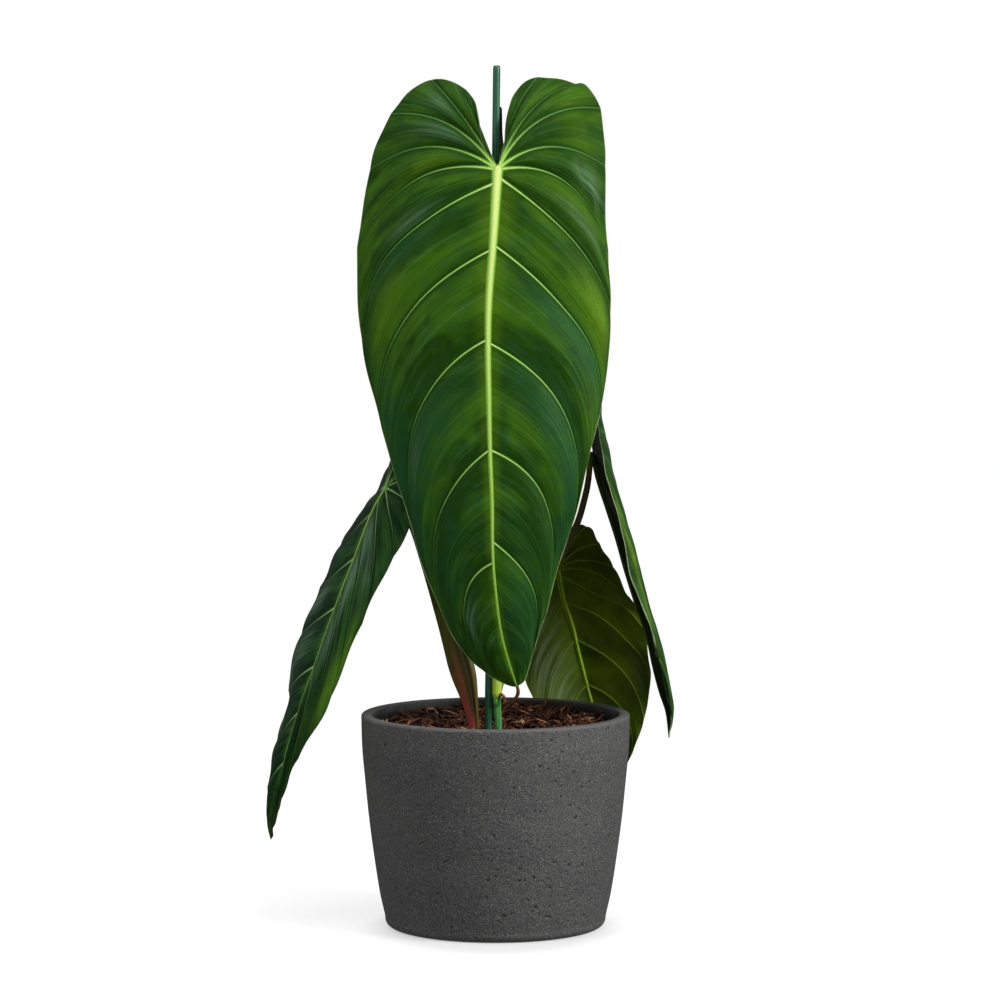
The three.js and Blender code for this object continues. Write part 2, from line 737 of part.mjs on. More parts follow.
function buildSoilBody() {
  const profile = [
    new THREE.Vector2(0, SOIL_FOOT),
    new THREE.Vector2(innerRadius(INNER_LOW_Z) - POT_INNER_BEVEL - SOIL_CLEARANCE, SOIL_FOOT),
    new THREE.Vector2(innerRadius(INNER_LOW_Z) - SOIL_CLEARANCE, SOIL_FOOT + POT_INNER_BEVEL),
    new THREE.Vector2(innerRadius(INNER_MID_Z) - SOIL_CLEARANCE, INNER_MID_Z),
    new THREE.Vector2(innerRadius(SOIL_LEVEL) - SOIL_CLEARANCE, SOIL_LEVEL - SOIL_EDGE_DROP),
    new THREE.Vector2(innerRadius(SOIL_LEVEL) - SOIL_EDGE_WIDTH, SOIL_LEVEL),
    new THREE.Vector2(30, SOIL_LEVEL + 0.8 * SOIL_CROWN),
    new THREE.Vector2(0, SOIL_LEVEL + SOIL_CROWN),
  ];
  const turned = new THREE.LatheGeometry(profile, SOIL_SIDES);
  turned.rotateX(Math.PI / 2);
  return toSolid(outward(toGeometry(toSolid(turned))));
}

function buildChips() {
  const draw = seededRandom(CHIP_SEED);
  const golden = Math.PI * (3 - Math.sqrt(5));
  const reach = innerRadius(SOIL_LEVEL) - CHIP_CLEAR_OF_WALL;
  const chips = [];
  for (let i = 0; i < CHIP_COUNT; i += 1) {
    const distance = reach * Math.sqrt((i + 0.5) / CHIP_COUNT);
    const angle = i * golden + 0.5 * draw();
    const size = [CHIP_LENGTH, CHIP_WIDTH, CHIP_THICKNESS].map(([low, high]) => lerp(low, high, draw()));
    const chip = new THREE.BoxGeometry(...size);
    chip.rotateX(draw() * Math.PI);
    chip.rotateY(lerp(-CHIP_TILT, CHIP_TILT, draw()));
    chip.rotateZ(draw() * 2 * Math.PI);
    const height = SOIL_LEVEL + lerp(...CHIP_LIFT, draw());
    chip.translate(distance * Math.cos(angle), distance * Math.sin(angle), height);
    chips.push(toSolid(chip));
  }
  return chips;
}

// Assembly
function largestBody(solid) {
  const bodies = solid.decompose().sort((a, b) => b.volume() - a.volume());
  return toGeometry(bodies[0]);
}

const stemSolid = toSolid(stalk(STEM_ROUTE, STEM_RADII, STEM_FORM));
const stemRoom = toSolid(stalk(STEM_ROUTE, STEM_RADII, { ...STEM_FORM, grow: GAP }));
const budShape = new THREE.SphereGeometry(1, 10, 8);
budShape.scale(...BUD_SIZE);
budShape.rotateY(BUD_LEAN);
budShape.translate(...BUD_PLACE);

addPiece("pot", buildPot(), FINISH.pot);
addPiece("stake", stalk(STAKE_ROUTE, STAKE_RADII, STAKE_FORM), FINISH.stake);
addPiece("stem", toGeometry(stemSolid.add(toSolid(budShape))), FINISH.stem);

const blades = Object.fromEntries(Object.entries(LEAVES).map(([name, leaf]) => [name, new Blade(leaf)]));
for (const [name, petiole] of Object.entries(PETIOLES)) {
  const route = [...petiole.route, blades[name].stalkEnd()];
  const whole = toSolid(stalk(route, petiole.radii, { rows: petiole.rows }));
  const cut = whole.subtract(stemRoom).subtract(blades[name].seat());
  addPiece(`petiole_${name}`, largestBody(cut), FINISH.petiole);
}
const sheathPath = new SmoothPath([...SHEATH_ROUTE, blades.left.stalkEnd()]);
const sheath = toSolid(sweep(sheathPath, SHEATH_ROWS, SHEATH_POINTS, sheathSection, SHEATH_FACING));
addPiece("petiole_left", largestBody(sheath.subtract(blades.left.seat())), FINISH.petiole);

const rootShape = toSolid(stalk(AERIAL_ROOT_ROUTE, AERIAL_ROOT_RADII, AERIAL_ROOT_FORM));
addPiece("aerial_root", largestBody(rootShape.subtract(stemRoom)), FINISH.dry);
const scaleShape = toSolid(stalk(SCALE_ROUTE, SCALE_RADII, { sides: 6, rows: 8 }));
addPiece("dry_leaf_scale", largestBody(scaleShape.subtract(stemRoom)), FINISH.dry);

// Room in the soil for the sunk end of every stalk
const SUNK_STEM_RADIUS = [[0, 1.95]];
const SUNK_ROOT_RADIUS = [[0, 1.1]];
const SUNK_SHEATH_RADII = [[0, 3.9], [0.6, 4.3], [1, 7.6]];

let soil = wasm.Manifold.union([buildSoilBody(), ...buildChips()]);
const holes = [
  stalk(STAKE_ROUTE, STAKE_RADII, { ...STAKE_FORM, grow: GAP }),
  stalk(STEM_ROUTE.slice(0, 4), SUNK_STEM_RADIUS, { sides: 10, rows: 4, grow: GAP }),
  stalk(AERIAL_ROOT_ROUTE.slice(5), SUNK_ROOT_RADIUS, { sides: 8, rows: 6, grow: GAP }),
  stalk(SHEATH_ROUTE.slice(0, 3), SUNK_SHEATH_RADII, { sides: 12, rows: 5, grow: GAP }),
].map(toSolid);
for (const hole of holes) soil = soil.subtract(hole).subtract(hole.translate([0, 0, -GAP]));
addPiece("substrate", largestBody(soil), FINISH.soil);

for (const [name, blade] of Object.entries(blades)) {
  addPiece(`leaf_${name}`, blade.geometry(), blade.leaf.finish);
}

export default part;
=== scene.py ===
"""Black gold philodendron in its pot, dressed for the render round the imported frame.

Sizes below are millimetres, as they would be measured on the plant, and become metres when a
piece is made. Origin: centre of the pot's underside, Z up, the viewer of the front looks along Y.
"""

import logging
import math
from dataclasses import dataclass, field
from enum import Enum
from functools import cache
from typing import Any

import bpy
import numpy as np
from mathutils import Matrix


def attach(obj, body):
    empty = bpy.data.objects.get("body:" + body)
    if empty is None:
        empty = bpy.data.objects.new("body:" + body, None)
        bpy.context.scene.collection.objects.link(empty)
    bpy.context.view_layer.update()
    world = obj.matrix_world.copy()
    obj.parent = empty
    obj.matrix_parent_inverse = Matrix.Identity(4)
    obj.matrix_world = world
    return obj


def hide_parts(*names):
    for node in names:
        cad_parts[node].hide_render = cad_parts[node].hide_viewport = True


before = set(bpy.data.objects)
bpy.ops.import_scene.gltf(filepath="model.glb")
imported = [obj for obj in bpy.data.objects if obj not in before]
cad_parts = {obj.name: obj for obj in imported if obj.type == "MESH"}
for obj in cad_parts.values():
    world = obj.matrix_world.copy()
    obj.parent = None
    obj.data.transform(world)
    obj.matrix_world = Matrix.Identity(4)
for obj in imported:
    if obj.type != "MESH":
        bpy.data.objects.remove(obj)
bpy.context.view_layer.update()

LOG = logging.getLogger("philodendron")

MM = 0.001
TAU = 2 * math.pi
BODY = "root"
POT_HEIGHT = 135.0
TO_VIEWER = (0.0, -1.0, 0.0)


class Side(Enum):
    """The two halves of a blade, seen from its upper face with the tip down."""

    RIGHT = 1
    LEFT = -1


class Course(Enum):
    """What a line across a blade is."""

    SINUS = "edge of the notch"
    LATERAL = "side vein"
    TIP = "tip"


# Helpers for numbers and curves


def linear(hex_colour: str) -> tuple[float, float, float, float]:
    """Turns an sRGB hex colour to a linear one.

    Args:
        hex_colour: Six hex digits with a leading #.

    Returns:
        The colour that Blender's sockets take.
    """
    levels = [int(hex_colour[i : i + 2], 16) / 255 for i in (1, 3, 5)]
    bent = [v / 12.92 if v <= 0.04045 else ((v + 0.055) / 1.055) ** 2.4 for v in levels]
    return (bent[0], bent[1], bent[2], 1.0)


def smooth_stations(stations: list[list[float]], x: np.ndarray) -> np.ndarray:
    """Reads a value between stations, with its corners rounded.

    Args:
        stations: Pairs of place and value, in rising order of place.
        x: Places to read.

    Returns:
        One value for each place.
    """
    places, values = np.array(stations, float).T
    shifts = (-0.04, -0.02, 0.0, 0.02, 0.04)
    return np.mean([np.interp(x + d, places, values) for d in shifts], axis=0)


def unit(vectors: np.ndarray) -> np.ndarray:
    """Scales each row to length one."""
    return vectors / np.linalg.norm(vectors, axis=-1, keepdims=True)


class Route:
    """Smooth curve through given points, read by its length."""

    def __init__(self, points: list[list[float]], steps: int = 40) -> None:
        """Samples the curve.

        Args:
            points: The points that it passes through, in two or three dimensions.
            steps: Samples between two points.
        """
        through = np.array(points, float)
        ends = [2 * through[0] - through[1]], [2 * through[-1] - through[-2]]
        knots = np.vstack([ends[0], through, ends[1]])
        chord = np.linalg.norm(np.diff(knots, axis=0), axis=1)
        t = (np.arange(steps) / steps)[:, None]
        samples = []
        for i in range(1, len(knots) - 2):
            before, here, there, after = knots[i - 1 : i + 3]
            leave = (there - before) * chord[i] / (chord[i] + chord[i - 1])
            arrive = (after - here) * chord[i] / (chord[i] + chord[i + 1])
            piece = here * (2 * t**3 - 3 * t**2 + 1) + leave * (t**3 - 2 * t**2 + t)
            samples.append(piece + there * (3 * t**2 - 2 * t**3) + arrive * (t**3 - t**2))
        self.samples = np.vstack([*samples, through[-1:]])
        steps_long = np.linalg.norm(np.diff(self.samples, axis=0), axis=1)
        self.lengths = np.concatenate([[0.0], np.cumsum(steps_long)])
        self.length = float(self.lengths[-1])

    def at(self, s: np.ndarray | float) -> np.ndarray:
        """Gives the points at lengths s, held at the ends."""
        columns = [np.interp(s, self.lengths, column) for column in self.samples.T]
        return np.stack(columns, axis=-1)

    def tangent(self, s: np.ndarray | float) -> np.ndarray:
        """Gives the unit directions at lengths s."""
        start = np.clip(np.asarray(s, float) - 1, 0, self.length - 2)
        return unit(self.at(start + 2) - self.at(start))


# Raw meshes


@dataclass
class Shell:
    """Points and faces of a mesh in millimetres, with marks that its material reads.

    Attributes:
        points: Places of the points.
        faces: Lists of point numbers.
        marks: One array of values per point for each named mark.
        tints: Material number of each face, the first one's where none are given.
    """

    points: np.ndarray
    faces: list[list[int]]
    marks: dict[str, np.ndarray]
    tints: list[int] = field(default_factory=list)

    def __post_init__(self) -> None:
        """Fills in the material numbers."""
        self.tints = self.tints or [0] * len(self.faces)

    def welded(self, tolerance: float = 0.002) -> "Shell":
        """Joins points that fall together and drops the faces that this flattens.

        Args:
            tolerance: Size of the cell within which points are one.

        Returns:
            The shell without doubles.
        """
        keys = np.floor(self.points / tolerance + 0.37).astype(np.int64)
        _, first, back = np.unique(keys, axis=0, return_index=True, return_inverse=True)
        back = back.reshape(-1)
        faces = []
        tints = []
        for face, tint in zip(self.faces, self.tints):
            ring = []
            for index in face:
                joined = int(back[index])
                if joined not in ring:
                    ring.append(joined)
            if len(ring) > 2:
                faces.append(ring)
                tints.append(tint)
        marks = {name: values[first] for name, values in self.marks.items()}
        return Shell(self.points[first], faces, marks, tints)


def merged(shells: list[Shell]) -> Shell:
    """Gives several shells as one.

    Args:
        shells: The shells, which have the same marks.

    Returns:
        A shell with all their points and faces in order.
    """
    faces = []
    offset = 0
    for shell in shells:
        faces += [[index + offset for index in face] for face in shell.faces]
        offset += len(shell.points)
    return Shell(
        np.vstack([shell.points for shell in shells]),
        faces,
        {name: np.concatenate([shell.marks[name] for shell in shells]) for name in shells[0].marks},
        [tint for shell in shells for tint in shell.tints],
    )


def grid_faces(
    rows: int, columns: int, closed: bool, flip: bool = False, start: int = 0
) -> list[list[int]]:
    """Makes the quads of a grid of points.

    Args:
        rows: Number of rows of points.
        columns: Number of points in a row.
        closed: Whether each row closes on itself.
        flip: Whether the faces turn the other way.
        start: Number of the first point.

    Returns:
        The faces.
    """
    row, column = np.meshgrid(np.arange(rows - 1), np.arange(columns if closed else columns - 1))
    row, column = row.T.ravel(), column.T.ravel()
    beside = (column + 1) % columns
    a = start + row * columns + column
    b = start + row * columns + beside
    quads = np.stack([a, b, b + columns, a + columns], axis=1)
    if flip:
        quads = quads[:, ::-1]
    return quads.tolist()


@dataclass
class Piece:
    """One finished object and the solid of the frame that it stands for.

    Attributes:
        name: Name of the object.
        node: Solid that it replaces, or none where it is an addition.
        slot: Material slot of the record; not used.
    """

    name: str
    node: str | None
    slot: str

    def make(self, shell: Shell, materials: list[bpy.types.Material]) -> bpy.types.Object:
        """Turns a shell into an object that rides on the frame.

        Args:
            shell: The geometry in millimetres.
            materials: Materials in the order of the shell's tints.

        Returns:
            The object.
        """
        mesh = bpy.data.meshes.new(self.name)
        mesh.from_pydata((shell.points * MM).tolist(), [], shell.faces)
        for material in materials:
            mesh.materials.append(material)
        mesh.polygons.foreach_set("use_smooth", np.ones(len(mesh.polygons), bool))
        mesh.polygons.foreach_set("material_index", np.array(shell.tints, np.int32))
        for name, values in shell.marks.items():
            layer = mesh.attributes.new(name, "FLOAT", "POINT")
            layer.data.foreach_set("value", np.asarray(values, np.float32))
        mesh.update()
        piece = bpy.data.objects.new(self.name, mesh)
        bpy.context.scene.collection.objects.link(piece)
        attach(piece, BODY)
        if self.node:
            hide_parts(self.node)
        LOG.info("%s: %d points, %d faces", self.name, len(mesh.vertices), len(mesh.polygons))
        return piece


# Finishes

MATH = "ShaderNodeMath"
MIX = "ShaderNodeMix"
NOISE = "ShaderNodeTexNoise"
CELLS = "ShaderNodeTexVoronoi"
RAMP = "ShaderNodeValToRGB"
RANGE = "ShaderNodeMapRange"
MARK = "ShaderNodeAttribute"
BUMP = "ShaderNodeBump"
SHIFT = "ShaderNodeMapping"
PLACE = "ShaderNodeTexCoord"
JOIN = "ShaderNodeCombineXYZ"
SPLIT = "ShaderNodeSeparateXYZ"
VECTOR = "ShaderNodeVectorMath"
SHADER = "ShaderNodeBsdfPrincipled"
SURFACE = "ShaderNodeOutputMaterial"

# Sockets of a colour mix, which share their names with those of the other kinds of mix
MIX_FACTOR, MIX_FIRST, MIX_SECOND, MIX_RESULT = 0, 6, 7, 2

BLADE_MARKS = (
    "lane", "reach", "along", "rib", "breadth", "span", "edge", "dry", "sunny", "cool", "painted_sheen",
)


@dataclass(frozen=True)
class Layer:
    """A colour laid over those below it, as strong as a value says.

    Attributes:
        tone: The colour, in hex digits or from an output.
        value: The value that it follows.
        span: Values where it has its first and its last strength.
        strength: Its first and its last strength.
        weight: What its strength is multiplied by.
    """

    tone: str | bpy.types.NodeSocket
    value: float | bpy.types.NodeSocket
    span: tuple[float, float] = (0, 1)
    strength: tuple[float, float] = (0, 1)
    weight: float | bpy.types.NodeSocket = 1.0


class Recipe:
    """The node tree of a material, or of the world, while it is put together."""

    def __init__(self, owner: bpy.types.Material | bpy.types.World) -> None:
        """Starts with an empty tree.

        Args:
            owner: What the tree belongs to.
        """
        self.owner = owner
        owner.use_nodes = True
        self.tree = owner.node_tree
        self.tree.nodes.clear()

    def add(
        self, kind: str, sockets: dict | tuple = (), out: int | str = 0, **settings: Any
    ) -> bpy.types.NodeSocket | None:
        """Adds one node.

        Args:
            kind: Blender's name for the node.
            sockets: Value or output for each input, by its name or number, or in their order.
            out: Name or number of the output that is wanted.
            settings: Properties of the node; stops are the colours of a ramp, in rising order.

        Returns:
            The output, if the node has any.
        """
        node = self.tree.nodes.new(kind)
        for place, (position, colour) in enumerate(settings.pop("stops", ())):
            # A new ramp has two stops
            elements = node.color_ramp.elements
            stop = elements[place] if place < 2 else elements.new(position)
            stop.position = position
            stop.color = linear(colour)
        for name, value in settings.items():
            setattr(node, name, value)
        for socket, value in sockets.items() if isinstance(sockets, dict) else enumerate(sockets):
            if isinstance(value, bpy.types.NodeSocket):
                self.tree.links.new(value, node.inputs[socket])
            else:
                node.inputs[socket].default_value = value
        return node.outputs[out] if node.outputs else None

    def covered(
        self, colour: bpy.types.NodeSocket, *layers: Layer, soft: bool = False
    ) -> bpy.types.NodeSocket:
        """Lays layers over a colour.

        Args:
            colour: What lies under them.
            layers: The layers from the lowest to the top.
            soft: Whether they fade in and out in an S rather than evenly.

        Returns:
            What is seen from above.
        """
        steps = "SMOOTHSTEP" if soft else "LINEAR"
        for layer in layers:
            reading = (layer.value, *layer.span, *layer.strength)
            share = self.add(RANGE, reading, interpolation_type=steps)
            share = self.add(MATH, (share, layer.weight), operation="MULTIPLY")
            tone = linear(layer.tone) if isinstance(layer.tone, str) else layer.tone
            sockets = {MIX_FACTOR: share, MIX_FIRST: colour, MIX_SECOND: tone}
            colour = self.add(MIX, sockets, MIX_RESULT, data_type="RGBA")
        return colour


@dataclass(frozen=True)
class Finish:
    """What all finishes have.

    Attributes:
        name: Name of the material.
    """

    name: str

    @cache
    def build(self) -> bpy.types.Material:
        """Builds the material, once for all the pieces that have it.

        Returns:
            The material.
        """
        r = Recipe(bpy.data.materials.new(self.name))
        r.add(SURFACE, (r.add(SHADER, self.shading(r)),))
        return r.owner

    def shading(self, r: Recipe) -> dict[str, Any]:
        """Adds the finish's own nodes.

        Args:
            r: The material's tree.

        Returns:
            Value or output for each socket of the shader.
        """
        raise NotImplementedError


@dataclass(frozen=True)
class VelvetBlade(Finish):
    """Living leaf skin with a nap of tiny raised cells: the upper face.

    The nap makes panels satin and grey-green where they turn to the light and deep green
    elsewhere; here that grey-green sheen is painted in patches. Ribs are smooth and pale.

    Attributes:
        deep: Darkest green of the panels.
        fresh: Lighter green of the panels.
        cool: Blue-green of shaded panels.
        sunny: Yellow-green where light comes through.
        painted_sheen: Grey-green painted sheen.
        rib: Centre of the midrib.
        rib_edge: Sides of the midrib.
        vein: Side veins near the midrib.
        vein_end: Side veins near the margin.
        margin: Thin line of the leaf's edge.
        margin_dry: Edge of the lobes.
        vein_strength: How clear the side veins are, 0 to 1.
    """

    deep: str = "#1c3c08"
    fresh: str = "#38600f"
    cool: str = "#1d4a2a"
    sunny: str = "#648a0a"
    painted_sheen: str = "#5a7a5c"
    rib: str = "#d8e68c"
    rib_edge: str = "#84be40"
    vein: str = "#a6d45c"
    vein_end: str = "#5c9350"
    margin: str = "#a9c284"
    margin_dry: str = "#33301a"
    vein_strength: float = 1.0

    def shading(self, r: Recipe) -> dict[str, Any]:
        """Adds the finish's own nodes.

        Args:
            r: The material's tree.

        Returns:
            Value or output for each socket of the shader.
        """
        mark = {name: r.add(MARK, out="Fac", attribute_name=name) for name in BLADE_MARKS}
        place = r.add(PLACE, out="Object")
        # Clouds about 45 mm across and mottling about 9 mm across
        clouds = r.add(NOISE, {"Vector": place, "Scale": 22, "Detail": 2})
        mottle = r.add(NOISE, {"Vector": place, "Scale": 110, "Detail": 6})
        # Streaks run beside the side veins, 1 to 3 mm wide
        across = r.add(MATH, (mark["lane"], 21.0), operation="MULTIPLY")
        outwards = r.add(MATH, (mark["reach"], 1.7), operation="MULTIPLY")
        course = r.add(JOIN, (across, outwards, clouds))
        streaks = r.add(NOISE, {"Vector": course, "Scale": 1.0, "Detail": 3})
        # Patches follow the side veins too, two or three to a panel
        drawn = r.add(SHIFT, {"Vector": course, "Scale": (0.13, 0.8, 3.5)})
        patches = r.add(NOISE, {"Vector": drawn, "Scale": 1.0, "Detail": 2})
        # Gaps to the nearest side vein, in half widths of it, and to the middle between two
        step = r.add(MATH, (mark["lane"], 0.5), operation="PINGPONG")
        gap = r.add(MATH, (step, mark["breadth"]), operation="MULTIPLY")
        inner = r.add(MATH, (0.5, step), operation="SUBTRACT")
        middle = r.add(MATH, (inner, mark["span"]), operation="MULTIPLY")
        # Patches are uneven, and the painted sheen lies in strips beside the side veins
        broken = r.add(RANGE, (mottle, 0.3, 0.7, 0.6, 1.2))
        sheen_streaks = r.add(RANGE, (streaks, 0.35, 0.65, 0.15, 1.1))
        fade = r.add(RANGE, (mark["reach"], 0.25, 1.0, 1.0, 0.4))
        clear = r.add(MATH, (fade, self.vein_strength), operation="MULTIPLY")
        vein_stops = ((0.0, self.rib), (0.06, self.vein), (0.6, self.vein_end))
        vein_tone = r.add(RAMP, (mark["reach"],), stops=vein_stops)
        # The midrib is greener at its sides and towards the tip
        greener = r.add(MATH, (mark["along"], 0.8, mark["rib"]), operation="MULTIPLY_ADD")
        rib_tone = r.add(RAMP, (greener,), stops=((0.25, self.rib), (1.0, self.rib_edge)))
        edge_tone = r.add(RAMP, (mark["dry"],), stops=((0.0, self.margin), (1.0, self.margin_dry)))
        panels = r.add(RAMP, (patches,), stops=((0.42, self.deep), (0.66, self.fresh)))
        colour = r.covered(
            panels,
            Layer(self.cool, mottle, (0.45, 0.7), (0, 0.3)),
            Layer(self.sunny, mark["rib"], (1, 7), (0.3, 0), broken),
            Layer(self.vein_end, streaks, (0.5, 0.75), (0, 0.14)),
            Layer(self.deep, streaks, (0.5, 0.25), (0, 0.45)),
            Layer(self.cool, mark["cool"], weight=broken),
            Layer(self.sunny, mark["sunny"], weight=broken),
            # Grey-green painted sheen, in strips beside the side veins
            Layer(self.painted_sheen, mark["painted_sheen"], weight=sheen_streaks),
            Layer(self.vein_end, middle, (0.1, 0.5), (0.2, 0), clear),
            # Painted shade: panels darken towards each side vein, as in its groove
            Layer(self.deep, gap, (1, 8), (0.85, 0)),
            Layer(self.vein_end, gap, (0.9, 2.2), (0.3, 0), clear),
            Layer(vein_tone, gap, (0.4, 1.1), (1, 0), clear),
            Layer(self.rib_edge, mark["rib"], (1, 1.5), (0.4, 0)),
            Layer(rib_tone, mark["rib"], (0.9, 1.05), (1, 0)),
            Layer(edge_tone, mark["edge"], (0.2, 0.5), (0.85, 0)),
            soft=True,
        )
        # Nap: cells about 0.7 mm across, drawn coarser than the real 0.1 mm so that they show
        nap = r.add(NOISE, {"Vector": place, "Scale": 1400, "Detail": 1})
        relief = r.add(MATH, (streaks, 5.5, nap), operation="MULTIPLY_ADD")
        return {
            "Base Color": colour,
            "Roughness": r.add(RANGE, (mottle, 0.3, 0.7, 0.38, 0.5)),
            "Normal": r.add(BUMP, {"Height": relief, "Strength": 0.3, "Distance": 0.00033}),
            "IOR": 1.42,
            "Specular IOR Level": 0.22,
            "Specular Tint": linear("#8fc070"),
        }


@dataclass(frozen=True)
class BladeUnderside(Finish):
    """The leaf's lower face: waxy and smoother, duller green, with raised pale ribs.

    Attributes:
        deep: Darkest tone of the panels.
        fresh: Lighter tone of the panels.
        painted_sheen_tone: Grey-green of the painted sheen.
        sunny: Green where light comes through.
        rib: Midrib.
        vein: Side veins.
        margin: Thin line of the leaf's edge.
        gloss: How strongly it mirrors.
    """

    deep: str = "#3a4a0c"
    fresh: str = "#5c7410"
    painted_sheen_tone: str = "#7c8e66"
    sunny: str = "#3c5f0c"
    rib: str = "#a9d232"
    vein: str = "#7a9a2a"
    margin: str = "#5f7040"
    gloss: float = 0.3

    def shading(self, r: Recipe) -> dict[str, Any]:
        """Adds the finish's own nodes.

        Args:
            r: The material's tree.

        Returns:
            Value or output for each socket of the shader.
        """
        names = ("lane", "reach", "rib", "breadth", "edge", "sunny", "painted_sheen")
        mark = {name: r.add(MARK, out="Fac", attribute_name=name) for name in names}
        place = r.add(PLACE, out="Object")
        # Patches about 30 mm across
        patches = r.add(NOISE, {"Vector": place, "Scale": 32, "Detail": 3})
        panels = r.add(RAMP, (patches,), stops=((0.35, self.deep), (0.65, self.fresh)))
        step = r.add(MATH, (mark["lane"], 0.5), operation="PINGPONG")
        gap = r.add(MATH, (step, mark["breadth"]), operation="MULTIPLY")
        # The grey-green painted sheen lies in streaks beside the side veins, 2 to 4 mm wide
        across = r.add(MATH, (mark["lane"], 9.0), operation="MULTIPLY")
        course = r.add(JOIN, (across, mark["reach"], patches))
        sheen_streaks = r.add(NOISE, {"Vector": course, "Scale": 1.0, "Detail": 3})
        # Strength of the painted sheen along those streaks
        rubbed = r.add(RANGE, (sheen_streaks, 0.38, 0.66, 0.1, 1.0))
        painted_sheen_share = r.add(MATH, (mark["painted_sheen"], rubbed), operation="MULTIPLY")
        colour = r.covered(
            panels,
            Layer(self.painted_sheen_tone, painted_sheen_share, strength=(0, 0.85)),
            Layer(self.sunny, mark["sunny"]),
            Layer(self.vein, gap, (0.9, 3), (0.3, 0)),
            Layer(self.vein, gap, (0.5, 1.2), (0.85, 0)),
            Layer(self.rib, mark["rib"], (0.9, 1.1), (1, 0)),
            Layer(self.margin, mark["edge"], (0.3, 0.8), (0.6, 0)),
            soft=True,
        )
        # Wax grain about 1.1 mm across
        grain = r.add(NOISE, {"Vector": place, "Scale": 900, "Detail": 2})
        return {
            "Base Color": colour,
            "Roughness": 0.46,
            "Normal": r.add(BUMP, {"Height": grain, "Strength": 0.15, "Distance": 0.0005}),
            "IOR": 1.4,
            "Specular IOR Level": self.gloss,
            "Specular Tint": linear("#a0bc90"),
        }


@dataclass(frozen=True)
class FreshStalk(Finish):
    """Living stalk skin, smooth and slightly waxy, with streaks along the fibres.

    Attributes:
        stops: Colours along the stalk, by the share of its length.
        streak: Colour of the streaks.
        streak_share: How strong the streaks are.
        blush: Red of a sheath's base.
        shade: Brown-black painted shade inside a sheath's fold.
        roughness: Roughness of the skin.
    """

    stops: tuple[tuple[float, str], ...]
    streak: str
    streak_share: float = 0.5
    blush: str = "#b4464e"
    shade: str = "#171306"
    roughness: float = 0.42

    def shading(self, r: Recipe) -> dict[str, Any]:
        """Adds the finish's own nodes.

        Args:
            r: The material's tree.

        Returns:
            Value or output for each socket of the shader.
        """
        along, blush, shade = (
            r.add(MARK, out="Fac", attribute_name=name) for name in ("along", "blush", "shade")
        )
        # Fibres about 0.8 mm wide and 25 mm long
        place = r.add(PLACE, out="Object")
        fibres = r.add(SHIFT, {"Vector": place, "Scale": (1200, 1200, 40)})
        streaks = r.add(NOISE, {"Vector": fibres, "Scale": 1.0, "Detail": 2})
        colour = r.covered(
            r.add(RAMP, (along,), stops=self.stops),
            Layer(self.streak, streaks, (0.45, 0.7), (0, self.streak_share)),
            Layer(self.blush, blush),
            # Painted shade inside a sheath's fold
            Layer(self.shade, shade),
        )
        return {
            "Base Color": colour,
            "Roughness": self.roughness,
            "Normal": r.add(BUMP, {"Height": streaks, "Strength": 0.25, "Distance": 0.0004}),
            "IOR": 1.42,
            "Specular IOR Level": 0.35,
        }


@dataclass(frozen=True)
class PlasticCoat(Finish):
    """Garden stake: steel wire dipped in green PVC, semi-gloss with fine draw lines."""

    name: str = "pvc_coat_dipped_green"

    def shading(self, r: Recipe) -> dict[str, Any]:
        """Adds the finish's own nodes.

        Args:
            r: The material's tree.

        Returns:
            Value or output for each socket of the shader.
        """
        place = r.add(PLACE, out="Object")
        # Draw lines about 0.6 mm apart run the length of the stake
        lines = r.add(SHIFT, {"Vector": place, "Scale": (1600, 1600, 12)})
        drawn = r.add(NOISE, {"Vector": lines, "Scale": 1.0, "Detail": 2})
        return {
            "Base Color": r.add(RAMP, (drawn,), stops=((0.3, "#1c4a30"), (0.7, "#39785a"))),
            "Roughness": 0.3,
            "Normal": r.add(BUMP, {"Height": drawn, "Strength": 0.2, "Distance": 0.0003}),
            "IOR": 1.53,
        }


@dataclass(frozen=True)
class DryBark(Finish):
    """Dry root skin and scale: dull, brown, wrinkled across and split along."""

    name: str = "root_bark_dry"

    def shading(self, r: Recipe) -> dict[str, Any]:
        """Adds the finish's own nodes.

        Args:
            r: The material's tree.

        Returns:
            Value or output for each socket of the shader.
        """
        place = r.add(PLACE, out="Object")
        # Wrinkles about 1.5 mm apart
        wrinkles = r.add(NOISE, {"Vector": place, "Scale": 650, "Detail": 4})
        stops = ((0.3, "#3d1d0e"), (0.5, "#7d4222"), (0.72, "#a5663a"))
        return {
            "Base Color": r.add(RAMP, (wrinkles,), stops=stops),
            "Roughness": 0.75,
            "Normal": r.add(BUMP, {"Height": wrinkles, "Strength": 0.7, "Distance": 0.0008}),
            "IOR": 1.45,
        }


@dataclass(frozen=True)
class CoirShreds(Finish):
    """Coir and bark shreds, moist: reddish brown, each its own shade, fibrous along."""

    name: str = "coir_shreds_moist"
    # The palest stop is a painted glint
    stops: tuple[tuple[float, str], ...] = (
        (0.0, "#140904"), (0.35, "#48240f"), (0.7, "#7c4422"), (0.9, "#b07040"), (1.0, "#d8a878"),
    )

    def shading(self, r: Recipe) -> dict[str, Any]:
        """Adds the finish's own nodes.

        Args:
            r: The material's tree.

        Returns:
            Value or output for each socket of the shader.
        """
        place = r.add(PLACE, out="Object")
        tone = r.add(RAMP, (r.add(MARK, out="Fac", attribute_name="shade"),), stops=self.stops)
        # Fibres about 0.7 mm wide
        fibres = r.add(NOISE, {"Vector": place, "Scale": 1500, "Detail": 3})
        return {
            "Base Color": r.covered(tone, Layer("#241009", fibres, (0.35, 0.6), (0.65, 0))),
            "Roughness": 0.62,
            "Normal": r.add(BUMP, {"Height": fibres, "Strength": 0.6, "Distance": 0.0006}),
            "IOR": 1.45,
        }


